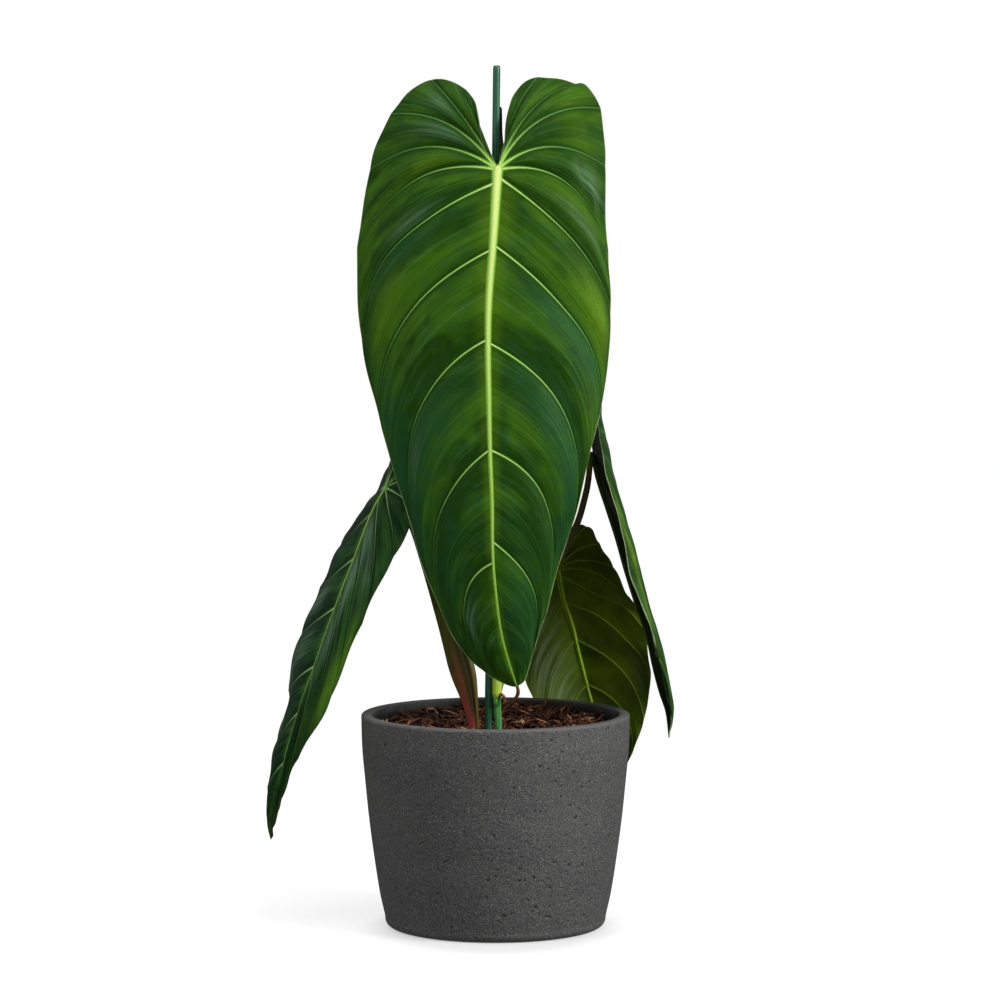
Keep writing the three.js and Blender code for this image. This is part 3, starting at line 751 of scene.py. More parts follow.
@dataclass(frozen=True)
class FibreClay(Finish):
    """Fibre clay, cast in a mould and rubbed down: matt charcoal with grit, specks and pits."""

    name: str = "fibre_clay_cast_charcoal"

    def shading(self, r: Recipe) -> dict[str, Any]:
        """Adds the finish's own nodes.

        Args:
            r: The material's tree.

        Returns:
            Value or output for each socket of the shader.
        """
        place = r.add(PLACE, out="Object")
        pit, wear_and_highlight, inside = (
            r.add(MARK, out="Fac", attribute_name=name) for name in ("pit", "wear_and_highlight", "inside")
        )
        # Clouding about 55 mm wide and 22 mm high, as the mould was filled in layers
        beds = r.add(SHIFT, {"Vector": place, "Scale": (18, 18, 45)})
        cloud = r.add(NOISE, {"Vector": beds, "Scale": 1.0, "Detail": 4})
        clay = r.add(RAMP, (cloud,), stops=((0.3, "#3b3b3b"), (0.72, "#4d4d4c")))
        # Grit about 0.7 mm across
        grit = r.add(NOISE, {"Vector": place, "Scale": 1400, "Detail": 3})
        grit_stops = ((0.33, "#282828"), (0.5, "#535352"), (0.68, "#8e8e8c"))
        # Pale specks, one in a 2 mm cell at most, each up to 0.7 mm across
        cells = r.add(CELLS, {"Vector": place, "Scale": 500}, "Distance")
        chosen = r.add(MATH, (cells.node.outputs["Color"], 0.72), operation="GREATER_THAN")
        # Air pits, one in a 6 mm cell at most, each up to 1.2 mm across
        holes = r.add(CELLS, {"Vector": place, "Scale": 170}, "Distance")
        picked = r.add(MATH, (holes.node.outputs["Color"], 0.66), operation="GREATER_THAN")
        round_hole = r.add(RANGE, (holes, 0.07, 0.14, 1.0, 0.0))
        hole = r.add(MATH, (round_hole, picked), operation="MULTIPLY")
        hole = r.add(MATH, (hole, pit), operation="MAXIMUM")
        # The air pits are painted dark as shade, the rim's top edge is painted paler as wear and as
        # a painted highlight, and the inner wall is painted dark as shade
        colour = r.covered(
            clay,
            Layer(r.add(RAMP, (grit,), stops=grit_stops), 0.5),
            Layer("#8c8c8a", cells, (0.1, 0.26), (1, 0), chosen),
            Layer("#141414", hole),
            Layer("#6a6a69", wear_and_highlight),
            Layer("#242424", inside),
        )
        # Rough skin with dents 1 to 3 mm across, clear only where the cast was rubbed less
        skin = r.add(NOISE, {"Vector": place, "Scale": 420, "Detail": 3})
        dents = r.add(RANGE, (skin, 0.36, 0.46), interpolation_type="SMOOTHSTEP")
        rubbing = r.add(NOISE, {"Vector": place, "Scale": 24, "Detail": 1})
        bare = r.add(RANGE, (rubbing, 0.42, 0.6, 0.1, 1.8))
        height = r.add(MATH, (dents, bare, grit), operation="MULTIPLY_ADD")
        height = r.add(MATH, (hole, -2.5, height), operation="MULTIPLY_ADD")
        return {
            "Base Color": colour,
            "Roughness": r.add(RANGE, (grit, 0.3, 0.7, 0.5, 0.75)),
            "Normal": r.add(BUMP, {"Height": height, "Strength": 0.55, "Distance": 0.0007}),
            "IOR": 1.5,
        }


@dataclass(frozen=True)
class PaperFloor(Finish):
    """Studio floor: matt white paper."""

    name: str = "studio_paper_white"

    def shading(self, r: Recipe) -> dict[str, Any]:
        """Adds the finish's own nodes.

        Args:
            r: The material's tree.

        Returns:
            Value or output for each socket of the shader.
        """
        # The paper glows evenly as if lit from all round, with a painted shadow round the pot's
        # foot
        place = r.add(PLACE, out="Object")
        shifted = r.add(SHIFT, {"Vector": place, "Location": (0, 0.02, 0), "Scale": (1.25, 1, 1)})
        away = r.add(VECTOR, (shifted,), "Value", operation="LENGTH")
        glow = r.add(RANGE, (away, 0.065, 0.115, 0.44, 0.7), interpolation_type="SMOOTHSTEP")
        return {
            "Base Color": linear("#b0b0b0"),
            "Roughness": 0.9,
            "Specular IOR Level": 0.1,
            "Emission Color": linear("#ffffff"),
            "Emission Strength": glow,
        }


# Blades


@dataclass(frozen=True)
class Vein:
    """A line across one half of a blade, from the midrib to the margin.

    Attributes:
        end: Where it meets the margin, as a share of the margin's length from the notch.
        origin: Where it leaves the midrib, as a share of the midrib's length.
        angle: Degrees between it and the midrib at its start.
        reach: How far it runs straight before it bends, as a share of its span.
        course: What the line is.
    """

    end: float
    origin: float = 0.0
    angle: float = 60.0
    reach: float = 0.62
    course: Course = Course.LATERAL


@dataclass(frozen=True)
class Patch:
    """A soft-edged patch on one half of a blade, in the grid of its veins.

    Attributes:
        side: Half of the blade.
        lane: Number of the vein above it, with the share of the way to the next.
        reach: Share of the way from midrib to margin.
        spread: Half widths across and along the veins, in lanes and in reach.
        strength: Value in its middle.
    """

    side: Side
    lane: float
    reach: float
    spread: tuple[float, float]
    strength: float = 1.0


SINUS_END = 0.075
LOBE_COUNT = 5
# The lobes' veins meet just under the notch, as a share of the midrib's length
LOBE_ORIGIN = 0.008
# Depth of a side vein's groove, and heights of its crest in that and of its ridge below
VEIN_GROOVE, VEIN_CREST, VEIN_RIDGE = 0.34, 0.34, 0.75
# What marks say in the lobes and at the grid's lines that are no veins, and on the midrib
NO_RIB, NO_VEIN, NOTHING_NEAR = 9.0, 60.0, 100.0


def vein_set(lobes: list[tuple[float, float]], laterals: list[tuple[float, ...]]) -> list[Vein]:
    """Lists the lines of one half of a blade from the notch to the tip.

    Args:
        lobes: Angle and end of each vein of the lobe.
        laterals: Origin, angle, reach and end of each vein below it.

    Returns:
        The lines, with the notch's edge first and the tip last.
    """
    veins = [Vein(SINUS_END, course=Course.SINUS)]
    veins += [Vein(end, LOBE_ORIGIN, angle) for angle, end in lobes]
    veins += [Vein(end, origin, angle, reach) for origin, angle, reach, end in laterals]
    return [*veins, Vein(1.0, 1.0, course=Course.TIP)]


COMMON_VEINS = vein_set(
    [(160, 0.135), (152, 0.185), (143, 0.245), (126, 0.32), (103, 0.42)],
    [
        (0.03, 60, 0.62, 0.52),
        (0.165, 60, 0.62, 0.65),
        (0.345, 61, 0.62, 0.79),
        (0.55, 61, 0.62, 0.895),
        (0.74, 57, 0.62, 0.958),
    ],
)


@dataclass
class Blade:
    """A leaf blade bent from its flat outline along its midrib, folded and curled at each side.

    Each half is a thin closed body, and the midrib is a closed body that covers their joint.

    Attributes:
        piece: The object that it becomes.
        upper: Finish of the upper face.
        lower: Finish of the lower face.
        axis: The midrib from the notch to the tip.
        facing: Direction that the upper face looks in.
        outline: Half outlines as places along the midrib and out from it.
        fold: Degrees that each half falls back at the midrib, by the share of its length.
        curl: Degrees that each half turns further in 100 mm.
        lobe_bend: Curvature of the lobes above the notch.
        quilt: Height of the swell between veins.
        rib: Depth of the midrib under the blade at the notch.
        rib_width: Width of the midrib at the notch and at the tip.
        vein_width: Width of a side vein at the midrib and at the margin.
        ripple: Height of the waved margin.
        veins: Lines across each half.
        patches: Soft patches for each mark of the finish.
        dents: Patches that are pushed in, their strength in mm.
        dry_lobes: How brown the edge of the lobes is.
        vein_share: How broad each half's side veins are, as a share of vein_width.
        thickness: Thickness of the blade.
        lobe_rows: Rows of points between two veins of a lobe.
        blade_rows: Rows of points between two veins below the notch.
    """

    piece: Piece
    upper: VelvetBlade
    lower: BladeUnderside
    axis: list[list[float]]
    facing: tuple[float, float, float]
    outline: dict[Side, list[list[float]]]
    fold: dict[Side, list[list[float]]]
    curl: dict[Side, float]
    lobe_bend: float
    quilt: float
    rib: float
    rib_width: tuple[float, float]
    vein_width: tuple[float, float]
    ripple: float
    veins: dict[Side, list[Vein]] = field(
        default_factory=lambda: {Side.RIGHT: COMMON_VEINS, Side.LEFT: COMMON_VEINS}
    )
    patches: dict[str, list[Patch]] = field(default_factory=dict)
    dents: list[Patch] = field(default_factory=list)
    dry_lobes: float = 0.6
    vein_share: dict[Side, float] = field(default_factory=lambda: {Side.RIGHT: 1, Side.LEFT: 1})
    thickness: float = 0.5
    lobe_rows: int = 12
    blade_rows: int = 20

    def __post_init__(self) -> None:
        """Prepares the midrib and the margins."""
        self.midrib = Route(self.axis)
        self.face = unit(np.array(self.facing, float))
        self.margins = {
            side: Route([*points, [self.midrib.length, 0]]) for side, points in self.outline.items()
        }

    def frames(self, s: np.ndarray) -> tuple[np.ndarray, np.ndarray, np.ndarray]:
        """Gives the midrib's place, the blade's normal and the direction across it.

        Args:
            s: Places along the midrib, negative in the lobes.

        Returns:
            Centre, normal and across for each place.
        """
        on_rib = np.maximum(s, 0)
        tangent = self.midrib.tangent(on_rib)
        normal = unit(self.face - (tangent @ self.face)[:, None] * tangent)
        across = np.cross(normal, tangent)
        back = np.minimum(s, 0)[:, None]
        centre = self.midrib.at(on_rib) + tangent * back - normal * self.lobe_bend * back**2 / 2
        leaning = unit(tangent - normal * self.lobe_bend * back)
        return centre, unit(np.cross(leaning, across)), across

    def sheet(self, side: Side, flat: np.ndarray) -> tuple[np.ndarray, np.ndarray]:
        """Bends flat places into the blade's smooth sheet.

        Args:
            side: Half of the blade.
            flat: Places along the midrib and out from it.

        Returns:
            Points and upper normals.
        """
        s, u = flat[:, 0], np.maximum(flat[:, 1], 0)
        centre, normal, across = self.frames(s)
        fold = np.radians(smooth_stations(self.fold[side], s / self.midrib.length))
        curl = math.radians(self.curl[side]) / 100
        angle = fold + curl * u
        out = (np.sin(angle) - np.sin(fold)) / curl
        drop = (np.cos(angle) - np.cos(fold)) / curl
        sign = side.value
        points = centre + across * (sign * out)[:, None] + normal * drop[:, None]
        up = normal * np.cos(angle)[:, None] + across * (sign * np.sin(angle))[:, None]
        return points, up

    def on_vein(self, side: Side, vein: Vein, v: np.ndarray) -> np.ndarray:
        """Gives flat places on one line.

        Args:
            side: Half of the blade.
            vein: The line.
            v: Shares of the way from the midrib to the margin.

        Returns:
            The flat places.
        """
        margin = self.margins[side]
        end = margin.at(vein.end * margin.length)
        if vein.course is Course.SINUS:
            return margin.at(vein.end * margin.length * v)
        if vein.course is Course.TIP:
            return np.repeat(end[None, :], len(v), axis=0)
        start = np.array([vein.origin * self.midrib.length, 0.0])
        reach = vein.reach * np.linalg.norm(end - start)
        turn = math.radians(vein.angle)
        knee = start + reach * np.array([math.cos(turn), math.sin(turn)])
        w = v[:, None]
        return start * (1 - w) ** 2 + knee * 2 * w * (1 - w) + end * w**2

    def flat_grid(self, side: Side, v: np.ndarray) -> tuple[np.ndarray, np.ndarray, np.ndarray]:
        """Lays the grid of points over one half of the flat blade.

        Args:
            side: Half of the blade.
            v: Shares of the way from the midrib to the margin.

        Returns:
            Flat places by row and column, the lane of each row, and the space between the two
            lines beside each point.
        """
        margin = self.margins[side]
        veins = self.veins[side]
        rows, lanes, spans = [], [], []
        for i, (first, second) in enumerate(zip(veins, veins[1:])):
            count = self.lobe_rows if i < LOBE_COUNT else self.blade_rows
            near, far = self.on_vein(side, first, v), self.on_vein(side, second, v)
            ends = margin.at(np.array([first.end, second.end]) * margin.length)
            for f in (1 - np.cos(np.pi * np.arange(count) / count)) / 2:
                wanted = margin.at((first.end + (second.end - first.end) * f) * margin.length)
                straight = ends[0] + (ends[1] - ends[0]) * f
                rows.append(near + (far - near) * f + (wanted - straight) * (v**2)[:, None])
                lanes.append(i + f)
                spans.append(np.linalg.norm(far - near, axis=1))
        rows.append(self.on_vein(side, veins[-1], v))
        lanes.append(len(veins) - 1)
        spans.append(spans[-1])
        return np.array(rows), np.array(lanes), np.array(spans)

    def patch_sum(
        self, patches: list[Patch], side: Side, lane: np.ndarray, v: np.ndarray
    ) -> np.ndarray:
        """Adds up soft patches.

        Args:
            patches: The patches.
            side: Half of the blade that is read.
            lane: Lane of each place.
            v: Reach of each place.

        Returns:
            Summed strength at each place.
        """
        total = np.zeros(lane.shape)
        for patch in patches:
            if patch.side is side:
                down = (lane - patch.lane) / patch.spread[0]
                out = (v - patch.reach) / patch.spread[1]
                total += patch.strength * np.exp(-(down**2) - out**2)
        return total

    def rib_half(self, along: np.ndarray) -> np.ndarray:
        """Gives half the midrib's width at shares of its length."""
        return np.interp(along**0.65, [0, 1], np.array(self.rib_width) / 2)

    def vein_half(self, side: Side, flat: np.ndarray, reach: np.ndarray) -> np.ndarray:
        """Gives half the width that a side vein has at places on the blade.

        Args:
            side: Half of the blade.
            flat: Places along the midrib and out from it.
            reach: Share of the way from the midrib to the margin.

        Returns:
            Half widths.
        """
        half = np.interp(reach**0.8, [0, 1], np.array(self.vein_width) / 2)
        # Veins broaden where they meet, within about 14 mm of the notch
        broader = 1 + 1.2 * np.exp(-np.linalg.norm(flat, axis=1) / 14)
        return half * (self.vein_share[side] * broader)

    def relief(
        self, side: Side, flat: np.ndarray, lane: np.ndarray, reach: np.ndarray, span: np.ndarray
    ) -> np.ndarray:
        """Gives the height of places over the smooth sheet, without the veins.

        Args:
            side: Half of the blade.
            flat: Places along the midrib and out from it.
            lane: Lane of each place.
            reach: Share of the way from the midrib to the margin.
            span: Space between the two lines beside each place.

        Returns:
            The heights.
        """
        f = lane - np.floor(lane)
        # Panels swell between the veins, most where these are far apart
        swell = self.quilt * np.sin(np.pi * f**0.8) * np.sin(np.pi * np.minimum(1, reach**0.8))
        swell *= np.clip(span / 16, 0, 1) ** 0.5
        # The margin waves once from vein to vein
        wave = self.ripple * reach**4 * np.sin(np.pi * (2 * f + np.floor(lane)))
        # Each panel has three shallow pleats, and the whole blade is a little uneven
        pleat = 0.16 * np.sin(TAU * 3.2 * f + 4 * reach) * np.sin(np.pi * reach) * np.sin(np.pi * f)
        drift = 0.6 * np.sin(flat[:, 0] / 13 + side.value) * np.sin(flat[:, 1] / 10) * reach
        relief = swell + wave + pleat + drift - self.patch_sum(self.dents, side, lane, reach)
        return relief * np.clip(reach / 0.03, 0, 1)

    def half(self, side: Side, v: np.ndarray) -> Shell:
        """Builds one half of the blade as a closed body.

        Args:
            side: Half of the blade.
            v: Shares of the way from the midrib to the margin.

        Returns:
            The shell.
        """
        grid, lanes, spans = self.flat_grid(side, v)
        rows, columns = grid.shape[:2]
        flat = grid.reshape(-1, 2)
        lane, reach, span = np.repeat(lanes, columns), np.tile(v, rows), spans.reshape(-1)
        f = lane - np.floor(lane)
        along = np.clip(flat[:, 0] / self.midrib.length, 0, 1)
        in_lobe = flat[:, 0] < 0
        relief = self.relief(side, flat, lane, reach, span)
        # The notch's edge and the tip are lines of the grid, but no veins
        free = (lane < 0.5) | (lane > lanes[-1] - 0.5)
        vein_half = self.vein_half(side, flat, reach)
        gap = np.minimum(f, 1 - f) * span / vein_half
        # Veins get lower outwards, and where they are crowded
        room = np.clip(span / 8, 0, 1) * ~free
        groove = VEIN_GROOVE * np.exp(-((gap / 2.4) ** 2)) * (1 - 0.6 * reach) * room
        crest = VEIN_CREST * np.exp(-((gap / 0.8) ** 2)) * (1 - 0.6 * reach) * room
        ridge = VEIN_RIDGE * (1 - 0.75 * reach) * np.exp(-((gap / 1.1) ** 2)) * room
        # The margin itself stays thin
        thin = np.clip((1 - reach) / 0.02, 0, 1)
        points, up = self.sheet(side, flat)
        upper = points + up * (relief + self.thickness / 2 + crest - groove)[:, None]
        lower = points + up * (relief - self.thickness / 2 - ridge * thin)[:, None]
        marks = {
            "lane": lane,
            "reach": reach,
            "along": along,
            "rib": np.where(in_lobe, NO_RIB, flat[:, 1] / self.rib_half(along)),
            "breadth": np.where(free, NO_VEIN, span / vein_half),
            "span": span,
            "edge": self.margin_gap(side, flat),
            "dry": np.where(in_lobe, self.dry_lobes, 0.0),
        }
        for name in ("sunny", "cool", "painted_sheen"):
            marks[name] = self.patch_sum(self.patches.get(name, []), side, lane, reach)
        return self.closed(side, upper, lower, (rows, columns), marks)

    def margin_gap(self, side: Side, flat: np.ndarray) -> np.ndarray:
        """Measures how far flat places are from the blade's outline.

        Args:
            side: Half of the blade.
            flat: Places along the midrib and out from it.

        Returns:
            The distances.
        """
        margin = self.margins[side]
        line = margin.at(np.linspace(0.01, 1, 260) * margin.length)
        gaps = np.full(len(flat), 1e9)
        for start, stop in zip(line, line[1:]):
            along = stop - start
            ahead = flat - start
            t = np.clip(ahead @ along / (along @ along), 0, 1)
            gaps = np.minimum(gaps, np.linalg.norm(ahead - t[:, None] * along, axis=1))
        return gaps

    def closed(
        self,
        side: Side,
        upper: np.ndarray,
        lower: np.ndarray,
        shape: tuple[int, int],
        marks: dict[str, np.ndarray],
    ) -> Shell:
        """Closes the two faces with a bulged edge, and with a plain wall along the midrib.

        Args:
            side: Half of the blade.
            upper: Points of the upper face.
            lower: Points of the lower face.
            shape: Rows and columns of the grid.
            marks: Marks of one face.

        Returns:
            The shell of this half.
        """
        rows, columns = shape
        count = rows * columns
        mirrored = side is Side.LEFT
        last = columns - 1
        middle = ((upper + lower) / 2).reshape(rows, columns, 3)
        outwards = np.zeros_like(middle)
        outwards[0, 1:] = unit(middle[0, 1:] - middle[1, 1:] + 1e-9)
        outwards[1:-1, -1] = unit(middle[1:-1, -1] - middle[1:-1, -2] + 1e-9)
        rim = (middle + outwards * self.thickness * 0.4).reshape(-1, 3)
        loop = [(0, c) for c in range(last)] + [(r, last) for r in range(rows - 1)]
        loop += [(rows - 1, c) for c in range(last, 0, -1)]
        loop += [(r, 0) for r in range(rows - 1, 0, -1)]
        ring = np.array([r * columns + c for r, c in loop])
        faces = grid_faces(rows, columns, False, not mirrored)
        faces += grid_faces(rows, columns, False, mirrored, count)
        tints = [0] * (len(faces) // 2) + [1] * (len(faces) // 2)
        around = np.arange(len(ring))
        for one, two in ((ring, around + 2 * count), (around + 2 * count, ring + count)):
            wall = np.stack([one, np.roll(one, -1), np.roll(two, -1), two], axis=1)
            faces += (wall[:, ::-1] if mirrored else wall).tolist()
            tints += [0] * len(wall)
        full = {name: np.concatenate([m, m, m[ring]]) for name, m in marks.items()}
        return Shell(np.vstack([upper, lower, rim[ring]]), faces, full, tints).welded()

    def midrib_shell(self) -> Shell:
        """Builds the midrib: low and rounded above the blade, deep under it.

        Returns:
            The shell.
        """
        columns = 20
        near_notch = [0.2, 0.5, 1, 1.7, 2.5, 3.5, 5]
        s = np.concatenate([near_notch, np.linspace(7, self.midrib.length - 0.5, 143)])
        rows = len(s)
        along = s / self.midrib.length
        half = self.rib_half(along) * np.sin(np.clip(s / 4, 0, 1) * math.pi / 2) ** 0.5
        turn = (np.arange(columns) + 0.5) / columns * TAU
        top = self.thickness / 2 + 0.5 * (1 - 0.65 * along)
        low = self.thickness / 2 + self.rib * (1 - 0.88 * along)
        height = np.where(np.sin(turn) > 0, top[:, None], low[:, None]) * np.sin(turn)
        across = half[:, None] * np.cos(turn)
        points = np.zeros((rows, columns, 3))
        for column in range(columns):
            side = Side.RIGHT if math.cos(turn[column]) > 0 else Side.LEFT
            flat = np.stack([s, np.abs(across[:, column])], axis=1)
            place, up = self.sheet(side, flat)
            points[:, column] = place + up * height[:, column, None]
        tints = [0 if math.sin(angle) > 0.02 else 1 for angle in turn] * (rows - 1)
        last = (rows - 1) * columns
        faces = grid_faces(rows, columns, True)
        faces += [list(range(columns))[::-1], list(range(last, last + columns))]
        marks = {name: np.zeros(rows * columns) for name in BLADE_MARKS}
        marks["lane"] += 0.25
        marks["along"] += np.repeat(along, columns)
        marks["rib"] += np.tile(np.abs(np.cos(turn)) * 0.9, rows)
        for name in ("breadth", "span", "edge"):
            marks[name] += NOTHING_NEAR
        return Shell(points.reshape(-1, 3), faces, marks, [*tints, 0, 0])

    def build(self) -> bpy.types.Object:
        """Builds the blade.

        Returns:
            The finished object.
        """
        near_rib = [0, 0.006, 0.014, 0.024, 0.036, 0.052, 0.07]
        near_margin = [0.972, 0.985, 0.994, 1.0]
        v = np.concatenate([near_rib, np.linspace(0.095, 0.955, 34), near_margin])
        shells = [self.half(Side.RIGHT, v), self.half(Side.LEFT, v), self.midrib_shell()]
        return self.piece.make(merged(shells), [self.upper.build(), self.lower.build()])


# Stalks and the other round pieces

# Height of the cones that close both ends
CAP_HEIGHT = 0.3


def swept(
    route: Route,
    facing: tuple[float, float, float],
    section: np.ndarray,
    marks: dict[str, np.ndarray],
) -> Shell:
    """Sweeps a closed section along a route and caps both its ends.

    Args:
        route: The route.
        facing: Direction that the section's second axis looks in.
        section: Section points by row and column, across and along facing.
        marks: Values by row and column for each mark.

    Returns:
        The shell.
    """
    rows, columns = section.shape[:2]
    lengths = np.linspace(0, route.length, rows)
    centre, tangent = route.at(lengths), route.tangent(lengths)
    out = unit(facing - (tangent @ np.array(facing))[:, None] * tangent)
    across = np.cross(out, tangent)
    points = (
        centre[:, None]
        + across[:, None] * section[:, :, :1]
        + out[:, None] * section[:, :, 1:]
    ).reshape(-1, 3)
    faces = grid_faces(rows, columns, True)
    last = (rows - 1) * columns
    ends = [centre[0] - tangent[0] * CAP_HEIGHT, centre[-1] + tangent[-1] * CAP_HEIGHT]
    first_cap, last_cap = len(points), len(points) + 1
    for k in range(columns):
        beside = (k + 1) % columns
        faces.append([first_cap, beside, k])
        faces.append([last_cap, last + k, last + beside])
    full = {}
    for name, values in marks.items():
        flat = values.reshape(-1)
        full[name] = np.concatenate([flat, [flat[0], flat[-1]]])
    return Shell(np.vstack([points, ends]), faces, full)


@dataclass
class Stalk:
    """A round stalk, root or stake with its radius given along its route.

    Attributes:
        piece: The object that it becomes.
        finish: Its finish.
        points: Points of its route.
        radii: Pairs of the share of its length and the radius there.
        lobes: Number of shallow ridges round it.
        lobe_depth: Their depth, as a share of the radius.
        rough: Height of random bumps, as a share of the radius.
        seed: Seed of the bumps.
        sides: Points round it.
        rows: Points along it.
        swellings: Share of the length, half width and added radius of each ring or swelling.
    """

    piece: Piece
    finish: Finish
    points: list[list[float]]
    radii: list[list[float]]
    lobes: int = 5
    lobe_depth: float = 0.02
    rough: float = 0.01
    seed: int = 3
    sides: int = 28
    rows: int = 150
    swellings: tuple[tuple[float, float, float], ...] = ()

    def shell(self) -> Shell:
        """Builds the mesh.

        Returns:
            The shell.
        """
        random = np.random.default_rng(self.seed)
        along = np.linspace(0, 1, self.rows)[:, None]
        turn = (np.arange(self.sides) / self.sides * TAU)[None, :]
        radius = np.interp(along, *np.array(self.radii, float).T)
        for place, width, height in self.swellings:
            radius = radius + height * np.exp(-(((along - place) / width) ** 2))
        bumps = np.ones((self.rows, self.sides))
        for order in range(1, 5):
            phase = random.uniform(0, TAU, 2)
            bend = np.sin(along * random.uniform(6, 16) * order + phase[0])
            bumps += self.rough * bend * np.sin(order * turn + phase[1])
        ridges = 1 + self.lobe_depth * np.cos(self.lobes * turn + 2 * along)
        radius = radius * bumps * ridges
        section = np.stack([radius * np.cos(turn), radius * np.sin(turn)], axis=-1)
        marks = {
            "along": np.repeat(along, self.sides, axis=1),
            "blush": np.zeros((self.rows, self.sides)),
            "shade": np.zeros((self.rows, self.sides)),
        }
        return swept(Route(self.points), TO_VIEWER, section, marks)

    def build(self) -> bpy.types.Object:
        """Builds the stalk as an object of its own."""
        return self.piece.make(self.shell(), [self.finish.build()])


@dataclass
class Sheath:
    """The left leaf's stalk: a wide open sheath above the substrate that closes to a stalk.

    Attributes:
        piece: The object that it becomes.
        finish: Its finish.
        points: Points of its route.
        half_width: Half its width along the route.
        opening: How far it is open along the route, 0 to 1.
        stalk_radius: Radius where it is closed.
        wall: Thickness of the trough's wall.
        facing: Direction that its open side looks away from.
        columns: Points round it.
        rows: Points along it.
    """

    piece: Piece
    finish: FreshStalk
    points: list[list[float]]
    half_width: list[list[float]]
    opening: list[list[float]]
    stalk_radius: float = 2.4
    wall: float = 1.3
    facing: tuple[float, float, float] = (-0.55, -0.83, 0.1)
    columns: int = 64
    rows: int = 170

    def build(self) -> bpy.types.Object:
        """Builds the sheath.

        Returns:
            The finished object.
        """
        along = np.linspace(0, 1, self.rows)[:, None]
        last = self.columns // 2 - 1
        width = smooth_stations(self.half_width, along)
        opening = smooth_stations(self.opening, along)
        turn = ((np.arange(self.columns) + 0.5) / self.columns * TAU)[None, :]
        radius = np.minimum(self.stalk_radius, width)
        # The first half of a row runs over the outer face, and the rest back over the inner one
        step = np.arange(self.columns)
        outer = step <= last
        share = (np.where(outer, step, self.columns - 1 - step) / last)[None, :]
        # The open part is a flat trough, with a wall that thins towards its two edges
        bend = np.pi * share
        wall = self.wall * (0.45 + 0.75 * np.sin(bend))
        reach = width - np.where(outer, 0, wall * 0.8)
        depth = width * 0.62 - np.where(outer, 0, wall)
        across = reach * np.cos(bend)
        out = depth * np.sin(bend) - width * 0.3
        # Where it is closed it is a round stalk
        across = radius * np.cos(turn) * (1 - opening) + across * opening
        out = radius * np.sin(turn) * (1 - opening) + out * opening
        # Fine ribs run along its outer face, and one crease
        ribs = 0.1 * np.cos(22 * share * np.pi) * opening * np.where(outer, 1, 0)
        crease = 1.4 * np.exp(-(((share - 0.73) / 0.05) ** 2)) * opening * np.where(outer, 1, 0.4)
        section = np.stack([across, out + ribs - crease], axis=-1)
        # Red covers one side of the foot and a line along the middle, and the fold gets painted
        # shade
        foot = np.clip(1.35 - along / 0.27, 0, 1)
        side = np.clip((0.88 - along - share) / 0.1, 0, 1)
        ridge = 0.45 * np.exp(-(((share - 0.5) / 0.07) ** 2)) * np.clip((0.42 - along) / 0.1, 0, 1)
        fold = np.exp(-(((share - 0.68) / 0.09) ** 2)) * np.clip((along - 0.13) / 0.1, 0, 1)
        marks = {
            "along": np.repeat(along, self.columns, axis=1),
            "blush": np.maximum(foot * side, ridge) * np.where(outer, 1.0, 0.5),
            "shade": 0.8 * fold * np.clip((0.6 - along) / 0.15, 0, 1),
        }
        shell = swept(Route(self.points), self.facing, section, marks)
        return self.piece.make(shell, [self.finish.build()])


